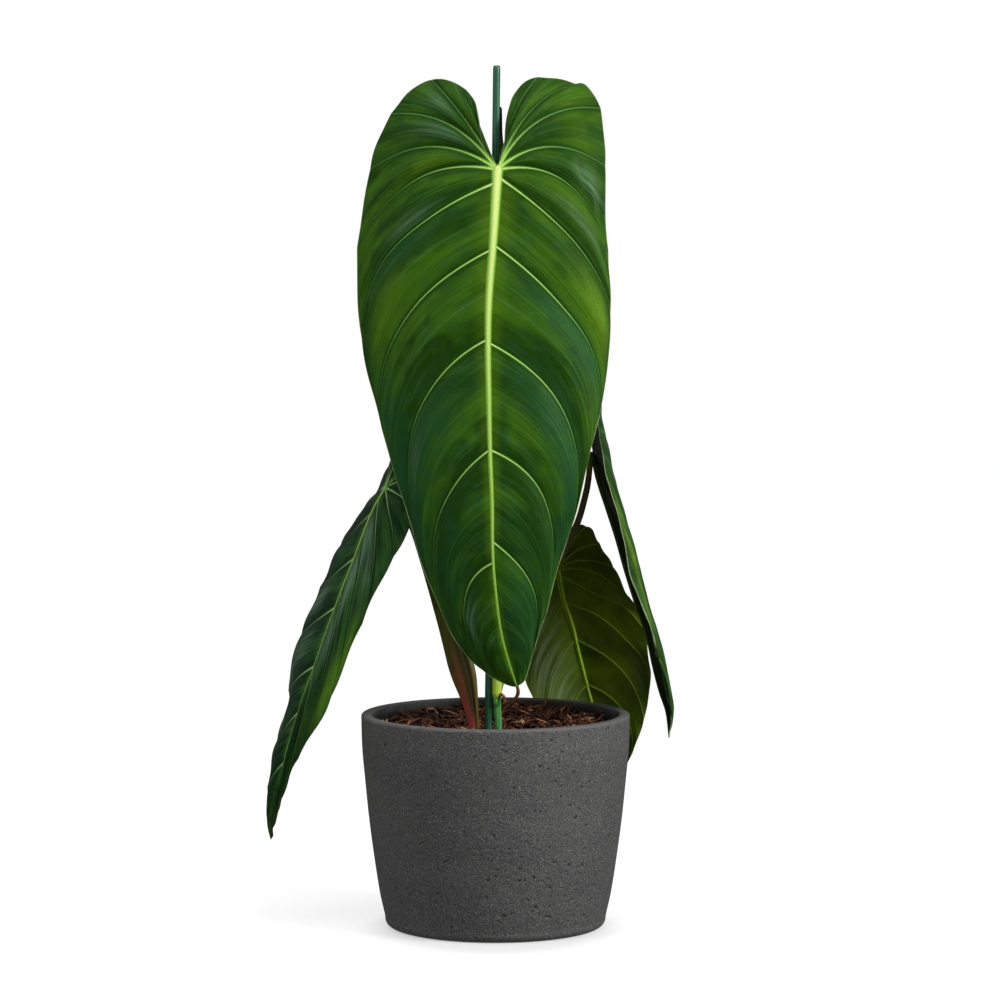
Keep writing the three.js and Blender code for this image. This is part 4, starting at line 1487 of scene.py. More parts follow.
@dataclass
class Pot:
    """The pot: turned profile with a rounded foot, a bellied wall and a thick flat rim.

    Attributes:
        piece: The object that it becomes.
        finish: Its finish.
        height: Height of the rim.
        rim_radius: Outer radius of the rim.
        wall: Thickness of the wall.
        floor: Thickness of the floor.
        foot_radius: Radius where the foot's round meets the underside.
        foot_round: Radius of the foot's round.
        edge_round: Radius of the rim's edges.
        belly: Outer profile, radius and height.
        sides: Points round it.
        pits: Number of air pits that are modelled.
        seed: Seed of the pits.
    """

    piece: Piece
    finish: FibreClay
    height: float = POT_HEIGHT
    rim_radius: float = 85.0
    wall: float = 7.0
    floor: float = 9.0
    foot_radius: float = 65.0
    foot_round: float = 5.0
    edge_round: float = 1.8
    belly: tuple[tuple[float, float], ...] = (
        (70, 6), (73.5, 22), (77.2, 46), (80.2, 69), (82.6, 93), (84.4, 113),
    )
    sides: int = 420
    pits: int = 110
    seed: int = 21

    def inner_radius(self, z: float) -> float:
        """Gives the radius of the inner wall at a height."""
        radii, heights = np.array([*self.belly, (self.rim_radius, self.height)], float).T
        return float(np.interp(z, heights, radii)) - self.wall

    def corner(self, r: float, z: float, radius: float, start: float, stop: float) -> np.ndarray:
        """Gives the points of a rounded corner of the profile."""
        angle = np.linspace(start, stop, 9)
        return np.stack([r + radius * np.cos(angle), z + radius * np.sin(angle)], axis=1)

    def profile(self) -> tuple[np.ndarray, int]:
        """Lays out the profile from the underside's centre over the rim to the inner floor.

        Returns:
            Radius and height of each point, and the number of the rim's inner edge.
        """
        quarter = math.pi / 2
        top = self.height - self.edge_round
        outer_rim = self.rim_radius - self.edge_round
        inner_rim = self.rim_radius - self.wall + self.edge_round
        foot = self.corner(self.foot_radius, self.foot_round, self.foot_round, -quarter, -0.12)
        wall_route = Route([[*foot[-1]], *[[r, z] for r, z in self.belly], [self.rim_radius, top]])
        outer = wall_route.at(np.linspace(0, wall_route.length, 122)[1:-1])
        rim = [
            self.corner(outer_rim, top, self.edge_round, 0, quarter),
            self.corner(inner_rim, top, self.edge_round, quarter, 2 * quarter),
        ]
        heights = np.linspace(top - 1, self.floor + 5, 46)
        inner = np.array([[self.inner_radius(z), z] for z in heights])
        under = np.array([[r, 0.0] for r in (0.001, 20, 40, 55, 62)])
        last_radius = self.inner_radius(22) - 5
        bottom = np.array([[last_radius, self.floor], [30, self.floor], [0.001, self.floor]])
        before = len(under) + len(foot) + len(outer) + len(rim[0])
        return np.vstack([under, foot, outer, *rim, inner, bottom]), before

    def build(self) -> bpy.types.Object:
        """Builds the pot.

        Returns:
            The finished object.
        """
        random = np.random.default_rng(self.seed)
        profile, rim_end = self.profile()
        rows = len(profile)
        turn = np.arange(self.sides) / self.sides * TAU
        radius = np.repeat(profile[:, :1], self.sides, axis=1)
        height = np.repeat(profile[:, 1:], self.sides, axis=1)
        # The cast wall isn't quite round
        wander = 0.1 * np.sin(3 * turn + 1) + 0.06 * np.sin(7 * turn)
        lift = np.clip((height - 20) / 100, 0, 1)
        radius = radius + wander * lift * (radius > 30)
        pit = np.zeros_like(radius)
        outer_rows = (profile[:, 0] > 66) & (profile[:, 1] > 6) & (np.arange(rows) < rim_end)
        # Air rose to one side of the mould, so most pits are on the right of the front
        for _ in range(self.pits):
            angle = random.normal(-0.95, 0.5) if random.random() < 0.6 else random.uniform(0, TAU)
            level = random.uniform(8, 132)
            size = random.uniform(0.35, 0.9)
            away = np.angle(np.exp(1j * (turn - angle)))[None, :] * radius
            gap = np.hypot(away, (height - level) * random.uniform(0.8, 1.3))
            shape = np.exp(-((gap / size) ** 4)) * outer_rows[:, None]
            pit = np.maximum(pit, shape)
        radius = radius - 0.7 * pit
        points = np.stack([radius * np.cos(turn), radius * np.sin(turn), height], axis=-1)
        rim_top = np.clip(1 - np.abs(height - self.height) / 2.2, 0, 1)
        inside = np.zeros_like(radius)
        inside[rim_end + 5 :] = 1.0
        # The pits get painted shade, the rim's top wear and a painted highlight, and the inner wall
        # painted shade
        marks = {
            "pit": pit,
            "wear_and_highlight": 0.5 * rim_top * (inside < 0.5),
            "inside": inside * np.clip((self.height - height) / 6, 0, 1),
        }
        flat = {name: values.reshape(-1) for name, values in marks.items()}
        shell = Shell(points.reshape(-1, 3), grid_faces(rows, self.sides, True), flat).welded(0.02)
        return self.piece.make(shell, [self.finish.build()])


@dataclass
class Substrate:
    """Coir and bark mix: an uneven bed with loose shreds heaped on it.

    Attributes:
        piece: The object that it becomes.
        finish: Its finish.
        level: Height of the bed at its middle.
        reach: Radius of the bed.
        shreds: Number of loose shreds.
        clear: Places of stalks that shreds keep clear of, with the radius.
        seed: Seed of the shreds.
    """

    piece: Piece
    finish: CoirShreds
    level: float = 121.4
    reach: float = 76.2
    shreds: int = 1900
    clear: tuple[tuple[float, float, float], ...] = (
        (-4.3, 0.0, 3.6), (2.4, -1.6, 3.4), (-13.6, -5.2, 6.0),
    )
    seed: int = 5

    def bed_height(self, x: np.ndarray, y: np.ndarray) -> np.ndarray:
        """Gives the bed's height at places on it: it rises to the wall, most at the back.

        Args:
            x: Places across.
            y: Places in depth.

        Returns:
            The heights.
        """
        waves = np.sin(x / 9 + 1) * np.sin(y / 8) + 0.6 * np.sin(x / 4.3) * np.sin(y / 5.1 + 2)
        heap = 1.6 * np.exp(-(((x - 30) / 30) ** 2) - ((y - 42) / 26) ** 2)
        rise = 2.8 * (x**2 + y**2) / self.reach**2 + 0.075 * y
        return self.level + 0.6 * waves + rise + heap

    def bed(self) -> Shell:
        """Builds the bed as a filled body that stands in the pot.

        Returns:
            The shell.
        """
        rings, sides = 60, 160
        turn = np.arange(sides) / sides * TAU
        radius = np.linspace(0.001, self.reach, rings)[:, None]
        x, y = radius * np.cos(turn), radius * np.sin(turn)
        top = np.stack([x, y, self.bed_height(x, y)], axis=-1)
        # Radius and height of the rings down the pot's wall and over its floor
        inside = ((75.4, 110), (72.6, 60), (66, 15), (60.5, 9.6), (0.001, 9.6))
        lower = []
        for r, z in inside:
            ring = [r * np.cos(turn), r * np.sin(turn), np.full(sides, float(z))]
            lower.append(np.stack(ring, axis=-1))
        points = np.concatenate([top, np.array(lower)]).reshape(-1, 3)
        faces = grid_faces(rings + len(lower), sides, True, True)
        return Shell(points, faces, {"shade": np.full(len(points), 0.08)}).welded(0.02)

    def shred(self, random: np.random.Generator, x: float, y: float, layer: float) -> Shell:
        """Builds one shred: a bent, tapered and twisted strip.

        Args:
            random: Source of the draws.
            x: Place on the bed.
            y: Place on the bed.
            layer: Share of the heap's height that it lies at.

        Returns:
            The shell.
        """
        sections, sides = 6, 5
        length = random.uniform(5, 16)
        width = random.uniform(0.5, 1.9)
        thick = width * random.uniform(0.3, 0.75)
        yaw = random.uniform(0, TAU)
        pitch = random.normal(0, 0.26 + 0.24 * layer)
        bend = random.normal(0, 0.09)
        twist = random.normal(0, 0.9)
        along = np.linspace(-0.5, 0.5, sections)[:, None]
        taper = np.cos(along * random.uniform(2.2, 2.9)) ** 0.6
        turn = (np.arange(sides) / sides * TAU)[None, :] + twist * along
        uneven = 1 + random.uniform(-0.25, 0.25, (sections, sides))
        across = width * np.cos(turn) * taper * uneven
        up = thick * np.sin(turn) * taper * uneven
        run = np.repeat(along * length, sides, axis=1)
        sag = bend * length * (along * 2) ** 2
        local = np.stack([run, across + sag, up - abs(bend) * length * (along * 2) ** 2], axis=-1)
        lean = np.array(
            [
                [math.cos(pitch), 0, -math.sin(pitch)],
                [0, 1, 0],
                [math.sin(pitch), 0, math.cos(pitch)],
            ]
        )
        spin = np.array(
            [[math.cos(yaw), -math.sin(yaw), 0], [math.sin(yaw), math.cos(yaw), 0], [0, 0, 1]]
        )
        points = local.reshape(-1, 3) @ lean.T @ spin.T
        base = float(self.bed_height(np.array(x), np.array(y)))
        points += np.array([x, y, base + 0.2 + 3.4 * layer])
        faces = grid_faces(sections, sides, True)
        faces.append(list(range(sides))[::-1])
        faces.append(list(range((sections - 1) * sides, sections * sides)))
        # Higher shreds are paler, and a few take the palest tone whole as a painted glint
        tone = np.clip(random.normal(0.28 + 0.24 * layer, 0.24), 0.0, 0.95)
        if random.random() < 0.03:
            tone = 1.0
        return Shell(points, faces, {"shade": np.full(len(points), tone)})

    def build(self) -> bpy.types.Object:
        """Builds the substrate.

        Returns:
            The finished object.
        """
        random = np.random.default_rng(self.seed)
        shells = [self.bed()]
        while len(shells) <= self.shreds:
            distance = (self.reach - 4) * math.sqrt(random.random())
            angle = random.uniform(0, TAU)
            x, y = distance * math.cos(angle), distance * math.sin(angle)
            if any(math.hypot(x - cx, y - cy) < r for cx, cy, r in self.clear):
                continue
            layer = ((len(shells) - 1) / self.shreds) ** 1.3
            shred = self.shred(random, x, y, layer)
            if np.hypot(shred.points[:, 0], shred.points[:, 1]).max() <= self.reach:
                shells.append(shred)
        return self.piece.make(merged(shells), [self.finish.build()])


@dataclass
class Studio:
    """Pale floor, soft lights and the camera at the photograph's viewing angle.

    Attributes:
        camera_place: Place of the camera in metres.
        pitch: Degrees that it looks down.
        lens: Focal length in millimetres on a 36 mm sensor.
    """

    camera_place: tuple[float, float, float] = (0.0029, -2.55, 0.457)
    pitch: float = 4.19
    lens: float = 146.0

    def camera(self) -> None:
        """Sets the camera up."""
        data = bpy.data.cameras.new("camera")
        data.lens = self.lens
        data.sensor_width = 36.0
        data.clip_end = 50.0
        camera = bpy.data.objects.new("camera", data)
        camera.location = self.camera_place
        camera.rotation_euler = (math.radians(90 - self.pitch), 0, 0)
        bpy.context.scene.collection.objects.link(camera)
        bpy.context.scene.camera = camera

    def floor(self) -> None:
        """Lays the floor."""
        mesh = bpy.data.meshes.new("floor")
        wide, near, far = 1.6, -1.4, 0.75
        corners = [(-wide, near, 0), (wide, near, 0), (wide, far, 0), (-wide, far, 0)]
        mesh.from_pydata(corners, [], [(0, 1, 2, 3)])
        mesh.materials.append(PaperFloor().build())
        floor = bpy.data.objects.new("floor", mesh)
        bpy.context.scene.collection.objects.link(floor)
        floor.visible_glossy = False
        floor.visible_diffuse = False

    def light(
        self, name: str, place: tuple[float, float, float], size: float, power: float
    ) -> None:
        """Hangs one soft light that looks at the plant.

        Args:
            name: Name of the light.
            place: Place in metres.
            size: Width of its square face in metres.
            power: Power in watts.
        """
        data = bpy.data.lights.new(name, "AREA")
        data.shape = "SQUARE"
        data.size = size
        data.energy = power
        light = bpy.data.objects.new(name, data)
        light.location = place
        plant_middle = np.array((0, 0, 0.25))
        aim = np.array(place) - plant_middle
        flat = math.hypot(aim[0], aim[1])
        light.rotation_euler = (math.atan2(flat, aim[2]), 0, math.atan2(aim[0], -aim[1]))
        bpy.context.scene.collection.objects.link(light)

    def world(self) -> None:
        """Fills the room with white light: white to the camera, dim in what surfaces mirror."""
        world = bpy.data.worlds.new("studio")
        bpy.context.scene.world = world
        r = Recipe(world)
        # Less light comes from below the floor's level
        height = r.add(SPLIT, (r.add(PLACE, out="Generated"),), "Z")
        rising = r.add(RANGE, (height, -0.5, 0.5, 0.26, 0.46))
        glossy = r.add("ShaderNodeLightPath", out="Is Glossy Ray")
        mirrored = r.add(RANGE, (glossy, 0, 1, rising, 0.12))
        strength = r.add(RANGE, (glossy.node.outputs["Is Camera Ray"], 0, 1, mirrored, 1.02))
        glow = r.add("ShaderNodeBackground", (linear("#ffffff"), strength))
        r.add("ShaderNodeOutputWorld", (glow,))

    def build(self) -> None:
        """Sets up everything round the plant."""
        self.camera()
        self.floor()
        self.light("softbox_right", (1.9, -1.0, 1.2), size=1.0, power=46)
        self.light("softbox_left", (-1.9, -1.3, 1.7), size=0.9, power=11)
        self.light("softbox_top", (-0.2, -0.5, 2.3), size=1.4, power=16)
        self.world()
        bpy.context.scene.view_settings.view_transform = "Standard"


# The plant's own measures

SMALL_LOBE = [[0, 0], [-9, 2], [-22, 3], [-34, 7], [-42, 15], [-44, 26], [-39, 36]]
FRONT_UPPER = VelvetBlade("leaf_velvet_upper_front")
SIDE_UPPER = VelvetBlade(
    "leaf_velvet_upper_side",
    deep="#102c12",
    fresh="#2a5220",
    cool="#16382a",
    sunny="#5c8a14",
    painted_sheen="#6f8c72",
    rib="#96bc5c",
    rib_edge="#4f8040",
    vein="#8ab86c",
    vein_end="#56864e",
    margin="#3a4420",
    margin_dry="#261e12",
    vein_strength=0.95,
)


def front_blade() -> Blade:
    """Gives the large blade that hangs in front.

    Returns:
        The blade, not yet built.
    """
    return Blade(
        piece=Piece("front_blade", "leaf_main", "leaf_front"),
        upper=FRONT_UPPER,
        lower=BladeUnderside("leaf_waxy_underside_front"),
        axis=[
            [1.6, -15.6, 480.2], [-0.8, -30, 440.3], [-3.9, -42, 397.2], [-4.5, -48, 370.9],
            [-3.9, -54, 336], [-3.3, -57, 305.3], [-2, -59, 274.6], [-1.4, -59, 237.5],
            [1.7, -56, 206.2], [4.8, -54, 187.4], [13.4, -48.6, 157.6],
        ],
        facing=(-0.06, -1, 0),
        outline={
            Side.RIGHT: [
                [0, 0], [-2.6, 1.3], [-8, 2.3], [-15, 3.1], [-24, 3], [-33, 3.4], [-42, 4.8],
                [-50, 7], [-62, 15], [-66, 30], [-65, 45], [-66, 51], [-54, 62], [-22, 68],
                [19, 71], [70, 78], [130, 77], [173, 67], [229, 50], [292, 28], [323, 9.6],
                [329, 5.6],
            ],
            Side.LEFT: [
                [0, 0], [-3.9, 3.7], [-10.2, 8.2], [-18, 11.3], [-25, 12.6], [-32, 13.8],
                [-46, 18], [-59, 30], [-64, 46], [-61, 55], [-53, 66], [-24, 81], [11, 87],
                [54, 91], [97, 86], [156, 74], [214, 57], [267, 41], [295, 31], [316, 18],
                [327, 8], [330, 3.6],
            ],
        },
        fold={
            Side.RIGHT: [[-0.2, 4], [0, 8], [1, 9]],
            Side.LEFT: [[-0.2, 4], [0, 4], [1, 9]],
        },
        curl={Side.RIGHT: 26, Side.LEFT: 26},
        lobe_bend=0.004,
        quilt=3.4,
        rib=3.2,
        rib_width=(6.2, 0.7),
        vein_width=(1.4, 0.7),
        ripple=0.8,
        veins={
            Side.RIGHT: vein_set(
                [(173, 0.138), (165, 0.185), (158, 0.234), (137, 0.312), (106, 0.42)],
                [
                    (0.022, 59, 0.81, 0.499),
                    (0.157, 60, 0.76, 0.659),
                    (0.345, 63, 0.65, 0.796),
                    (0.546, 66, 0.55, 0.9),
                    (0.717, 52, 0.64, 0.958),
                ],
            ),
            Side.LEFT: vein_set(
                [(156, 0.113), (148, 0.167), (143, 0.235), (125, 0.315), (101, 0.42)],
                [
                    (0.034, 67, 0.73, 0.529),
                    (0.166, 60, 0.74, 0.645),
                    (0.339, 65, 0.56, 0.785),
                    (0.546, 58, 0.55, 0.9),
                    (0.757, 69, 0.5, 0.954),
                ],
            ),
        },
        patches={
            "sunny": [
                Patch(Side.RIGHT, 6.5, 0.62, (0.4, 0.24), 0.65),
                Patch(Side.RIGHT, 7.4, 0.75, (0.3, 0.2), 0.25),
                Patch(Side.RIGHT, 5.4, 0.45, (0.4, 0.3), 0.3),
                Patch(Side.RIGHT, 3.0, 0.75, (1.6, 0.2), 0.3),
                Patch(Side.LEFT, 4.6, 0.45, (0.35, 0.25), 0.45),
                Patch(Side.LEFT, 6.6, 0.6, (0.4, 0.25), 0.3),
            ],
            "cool": [
                Patch(Side.RIGHT, 7.15, 0.5, (0.25, 0.4), 0.8),
                Patch(Side.RIGHT, 8.2, 0.4, (0.35, 0.3), 0.8),
                Patch(Side.LEFT, 6.1, 0.5, (0.25, 0.4), 0.5),
                Patch(Side.LEFT, 8.3, 0.35, (0.3, 0.3), 0.6),
                Patch(Side.LEFT, 7.7, 0.8, (1.0, 0.25), 0.7),
                Patch(Side.LEFT, 9.5, 0.5, (0.8, 0.6), 0.4),
                Patch(Side.RIGHT, 10.2, 0.5, (0.8, 0.6), 0.5),
                Patch(Side.RIGHT, 8.6, 0.75, (0.6, 0.25), 0.5),
            ],
            "painted_sheen": [
                Patch(Side.LEFT, 5.75, 0.42, (0.16, 0.2), 0.6),
                Patch(Side.LEFT, 3.4, 0.5, (0.3, 0.3), 0.55),
                Patch(Side.LEFT, 2.4, 0.7, (0.3, 0.2), 0.6),
                Patch(Side.RIGHT, 4.45, 0.8, (0.3, 0.14), 0.8),
                Patch(Side.RIGHT, 5.5, 0.55, (0.2, 0.25), 0.5),
                Patch(Side.LEFT, 10.15, 0.5, (0.16, 0.2), 0.6),
                Patch(Side.LEFT, 8.2, 0.6, (0.2, 0.2), 0.4),
            ],
        },
        dents=[
            Patch(Side.RIGHT, 4.35, 0.72, (0.16, 0.06), 2.2),
            Patch(Side.RIGHT, 4.65, 0.82, (0.14, 0.05), -1.8),
            Patch(Side.RIGHT, 4.8, 0.9, (0.14, 0.05), 1.6),
            Patch(Side.RIGHT, 3.5, 0.85, (0.16, 0.05), 1.4),
            Patch(Side.RIGHT, 5.3, 0.86, (0.12, 0.05), 1.2),
            Patch(Side.LEFT, 2.5, 0.8, (0.16, 0.06), 1.4),
            Patch(Side.LEFT, 5.6, 0.6, (0.12, 0.12), 1.2),
            Patch(Side.LEFT, 10.25, 0.52, (0.12, 0.07), 1.6),
            Patch(Side.LEFT, 10.05, 0.64, (0.1, 0.07), -1.0),
        ],
    )


def left_blade() -> Blade:
    """Gives the blade that hangs out to the left.

    Returns:
        The blade, not yet built.
    """
    return Blade(
        piece=Piece("left_blade", "leaf_left", "leaf_side"),
        upper=SIDE_UPPER,
        lower=BladeUnderside("leaf_waxy_underside_left"),
        axis=[
            [-69, 22, 278], [-78, 20, 262], [-90, 16, 231], [-102, 12, 200], [-118, 8, 155],
            [-126.5, 6, 130], [-134, 6, 104], [-139.5, 7, 78], [-143, 8, 53],
        ],
        facing=(-0.906, -0.42, 0.1),
        outline={
            Side.RIGHT: [
                *SMALL_LOBE, [-20, 43], [5, 47], [30, 46.2], [61, 39], [87, 36.5], [118, 32.8],
                [148, 29.8], [170, 21.8], [193, 12], [212, 5.5], [229, 2.8],
            ],
            Side.LEFT: [
                *SMALL_LOBE, [-20, 42], [5, 45], [30, 45], [61, 43], [90, 41], [118, 38],
                [140, 35], [150, 29], [176, 24], [200, 16], [223, 7],
            ],
        },
        fold={
            Side.RIGHT: [[0, 4], [1, 4]],
            Side.LEFT: [
                [-0.1, 14], [0.03, 20.8], [0.1, 13], [0.16, 7], [0.22, 5.2], [0.28, 4.2],
                [0.36, 2.2], [0.45, 0], [0.52, -1.8], [0.57, -1], [0.62, 5.8], [0.68, 6.5],
                [0.76, 4], [0.84, -1.5], [0.92, -16], [1, -30],
            ],
        },
        curl={Side.RIGHT: 20, Side.LEFT: 10},
        lobe_bend=0.004,
        quilt=2.6,
        rib=2.6,
        rib_width=(2.8, 0.7),
        vein_width=(2.2, 1.2),
        ripple=0.8,
        vein_share={Side.RIGHT: 0.4, Side.LEFT: 1},
        veins={
            Side.RIGHT: vein_set(
                [(160, 0.12), (146, 0.18), (124, 0.25), (92, 0.33), (60, 0.43)],
                [
                    (0.04, 36, 0.6, 0.56),
                    (0.13, 26, 0.6, 0.7),
                    (0.3, 20, 0.6, 0.83),
                    (0.52, 17, 0.6, 0.925),
                    (0.74, 14, 0.6, 0.97),
                ],
            ),
            Side.LEFT: vein_set(
                [(160, 0.1), (152, 0.15), (143, 0.2), (122, 0.27), (90, 0.35)],
                [
                    (0.085, 66, 0.66, 0.435),
                    (0.214, 64, 0.66, 0.52),
                    (0.354, 62, 0.66, 0.615),
                    (0.52, 60, 0.66, 0.72),
                    (0.65, 56, 0.66, 0.82),
                    (0.79, 52, 0.66, 0.905),
                ],
            ),
        },
        patches={
            "sunny": [
                Patch(Side.RIGHT, 6.6, 0.88, (0.5, 0.18), 0.65),
                Patch(Side.RIGHT, 7.4, 0.8, (0.5, 0.25), 0.5),
                Patch(Side.RIGHT, 8.6, 0.7, (0.5, 0.25), 0.3),
            ],
            "cool": [Patch(Side.LEFT, 8.0, 0.5, (3.0, 0.5), 0.5)],
            "painted_sheen": [
                Patch(Side.RIGHT, 6.2, 0.5, (0.3, 0.3), 0.4),
                Patch(Side.RIGHT, 6.6, 0.16, (0.7, 0.12), 0.65),
                Patch(Side.RIGHT, 7.8, 0.2, (1.1, 0.16), 0.6),
                Patch(Side.LEFT, 7.5, 0.6, (0.3, 0.3), 0.6),
                Patch(Side.LEFT, 8.5, 0.5, (0.3, 0.3), 0.5),
                Patch(Side.LEFT, 9.5, 0.85, (1.5, 0.15), 0.5),
            ],
        },
    )


def right_blade() -> Blade:
    """Gives the blade at the right that is seen nearly edge on.

    Returns:
        The blade, not yet built.
    """
    return Blade(
        piece=Piece("right_blade", "leaf_right", "leaf_side"),
        upper=VelvetBlade(
            "leaf_velvet_upper_right",
            deep="#1e3c12",
            fresh="#386422",
            cool="#29492c",
            sunny="#6d9416",
            rib="#a8cf5a",
            rib_edge="#6fa03c",
            vein="#7ba65a",
            vein_end="#4a7040",
            margin="#a9c08a",
            vein_strength=0.4,
        ),
        # This underside is near black: dark green with painted shade, as that half stands in shadow
        lower=BladeUnderside(
            "leaf_waxy_underside_right_painted_shade",
            deep="#0f1a0c",
            fresh="#1a2a14",
            rib="#4a5f30",
            vein="#2a3c20",
            margin="#7c905c",
            gloss=0.1,
        ),
        axis=[
            [61.6, 9, 300.5], [65.4, 10, 282.8], [71, 11, 265], [77, 12, 246], [83, 13, 224],
            [90.4, 14, 200], [96.2, 14, 183], [100.6, 14, 162], [104.4, 14, 147],
            [108.6, 14, 134], [110.6, 14, 117.3],
        ],
        facing=(1, 0, 0.1),
        outline={
            Side.RIGHT: [
                [0, 0], [-9, 2], [-20, 3], [-30, 7], [-36, 15], [-38, 25], [-33, 34], [-18, 38],
                [0, 39], [31, 40], [60, 39], [91, 37], [112, 33], [130, 28], [150, 21], [168, 14],
                [182, 6],
            ],
            Side.LEFT: [
                *SMALL_LOBE, [-20, 36], [0, 36], [35, 36], [60, 35], [87, 32], [112, 26],
                [133, 19], [150, 14], [168, 9], [181, 4.5],
            ],
        },
        fold={
            Side.RIGHT: [
                [-0.2, -20], [-0.1, -15], [0.03, -18], [0.1, -17], [0.2, -14.5], [0.3, -13.5],
                [0.41, -16.5], [0.54, -14.5], [0.64, -14], [0.75, -23], [0.83, -26], [1, -25],
            ],
            Side.LEFT: [
                [-0.2, -9], [0.06, -9.5], [0.15, -11], [0.24, -8.5], [0.31, -6.5], [0.42, -3.5],
                [0.5, -8], [0.66, -8.5], [0.72, -11], [0.8, -26], [0.88, -24], [1, -19],
            ],
        },
        curl={Side.RIGHT: 8, Side.LEFT: 8},
        lobe_bend=-0.006,
        quilt=0.9,
        rib=2.0,
        rib_width=(2.8, 0.8),
        vein_width=(1.2, 0.5),
        ripple=0.3,
        patches={"sunny": [Patch(Side.RIGHT, 7.6, 0.4, (1.6, 0.15), 0.6)]},
    )


def back_blade() -> Blade:
    """Gives the blade at the back that shows its underside.

    Returns:
        The blade, not yet built.
    """
    return Blade(
        piece=Piece("back_blade", "leaf_back", "leaf_side"),
        upper=SIDE_UPPER,
        lower=BladeUnderside("leaf_waxy_underside_back"),
        axis=[
            [40, 70, 221], [44, 80, 200], [50, 88, 182], [55, 95, 161], [63, 104, 130],
            [70, 110, 103], [77, 112, 73],
        ],
        facing=(0.25, 1, 0.1),
        outline={
            Side.RIGHT: [
                *SMALL_LOBE, [-20, 40], [5, 42], [35, 42], [65, 41], [90, 37], [112, 29],
                [135, 18], [150, 8],
            ],
            Side.LEFT: [
                [0, 0], [-9, 2], [-20, 4], [-30, 11], [-34, 19], [-32, 28], [-20, 32.6], [-4, 37.8],
                [15, 44.6], [46, 49], [70, 48], [87, 46], [103, 40], [118, 33], [132, 25],
                [145, 16], [154, 6],
            ],
        },
        fold={Side.RIGHT: [[0, 36], [1, 26]], Side.LEFT: [[0, 5], [1, 8]]},
        curl={Side.RIGHT: 15, Side.LEFT: 13},
        lobe_bend=0.004,
        quilt=1.4,
        rib=2.4,
        rib_width=(4.4, 1.3),
        vein_width=(1.1, 0.5),
        ripple=1.0,
        patches={
            "painted_sheen": [
                Patch(Side.RIGHT, 8.0, 0.5, (2.2, 0.4), 1.0),
                Patch(Side.LEFT, 7.6, 0.75, (1.0, 0.2), 0.35),
            ],
        },
    )


STAKE_TOP = 543
STAKE_AT_RIM = -4.2
# It leans 5 mm to the right between the pot's rim and its top
STAKE_SLOPE = 5.05 / (STAKE_TOP - POT_HEIGHT)


def stake_x(z: float) -> float:
    """Gives the leaning stake's place across at a height."""
    return STAKE_AT_RIM + STAKE_SLOPE * (z - POT_HEIGHT)


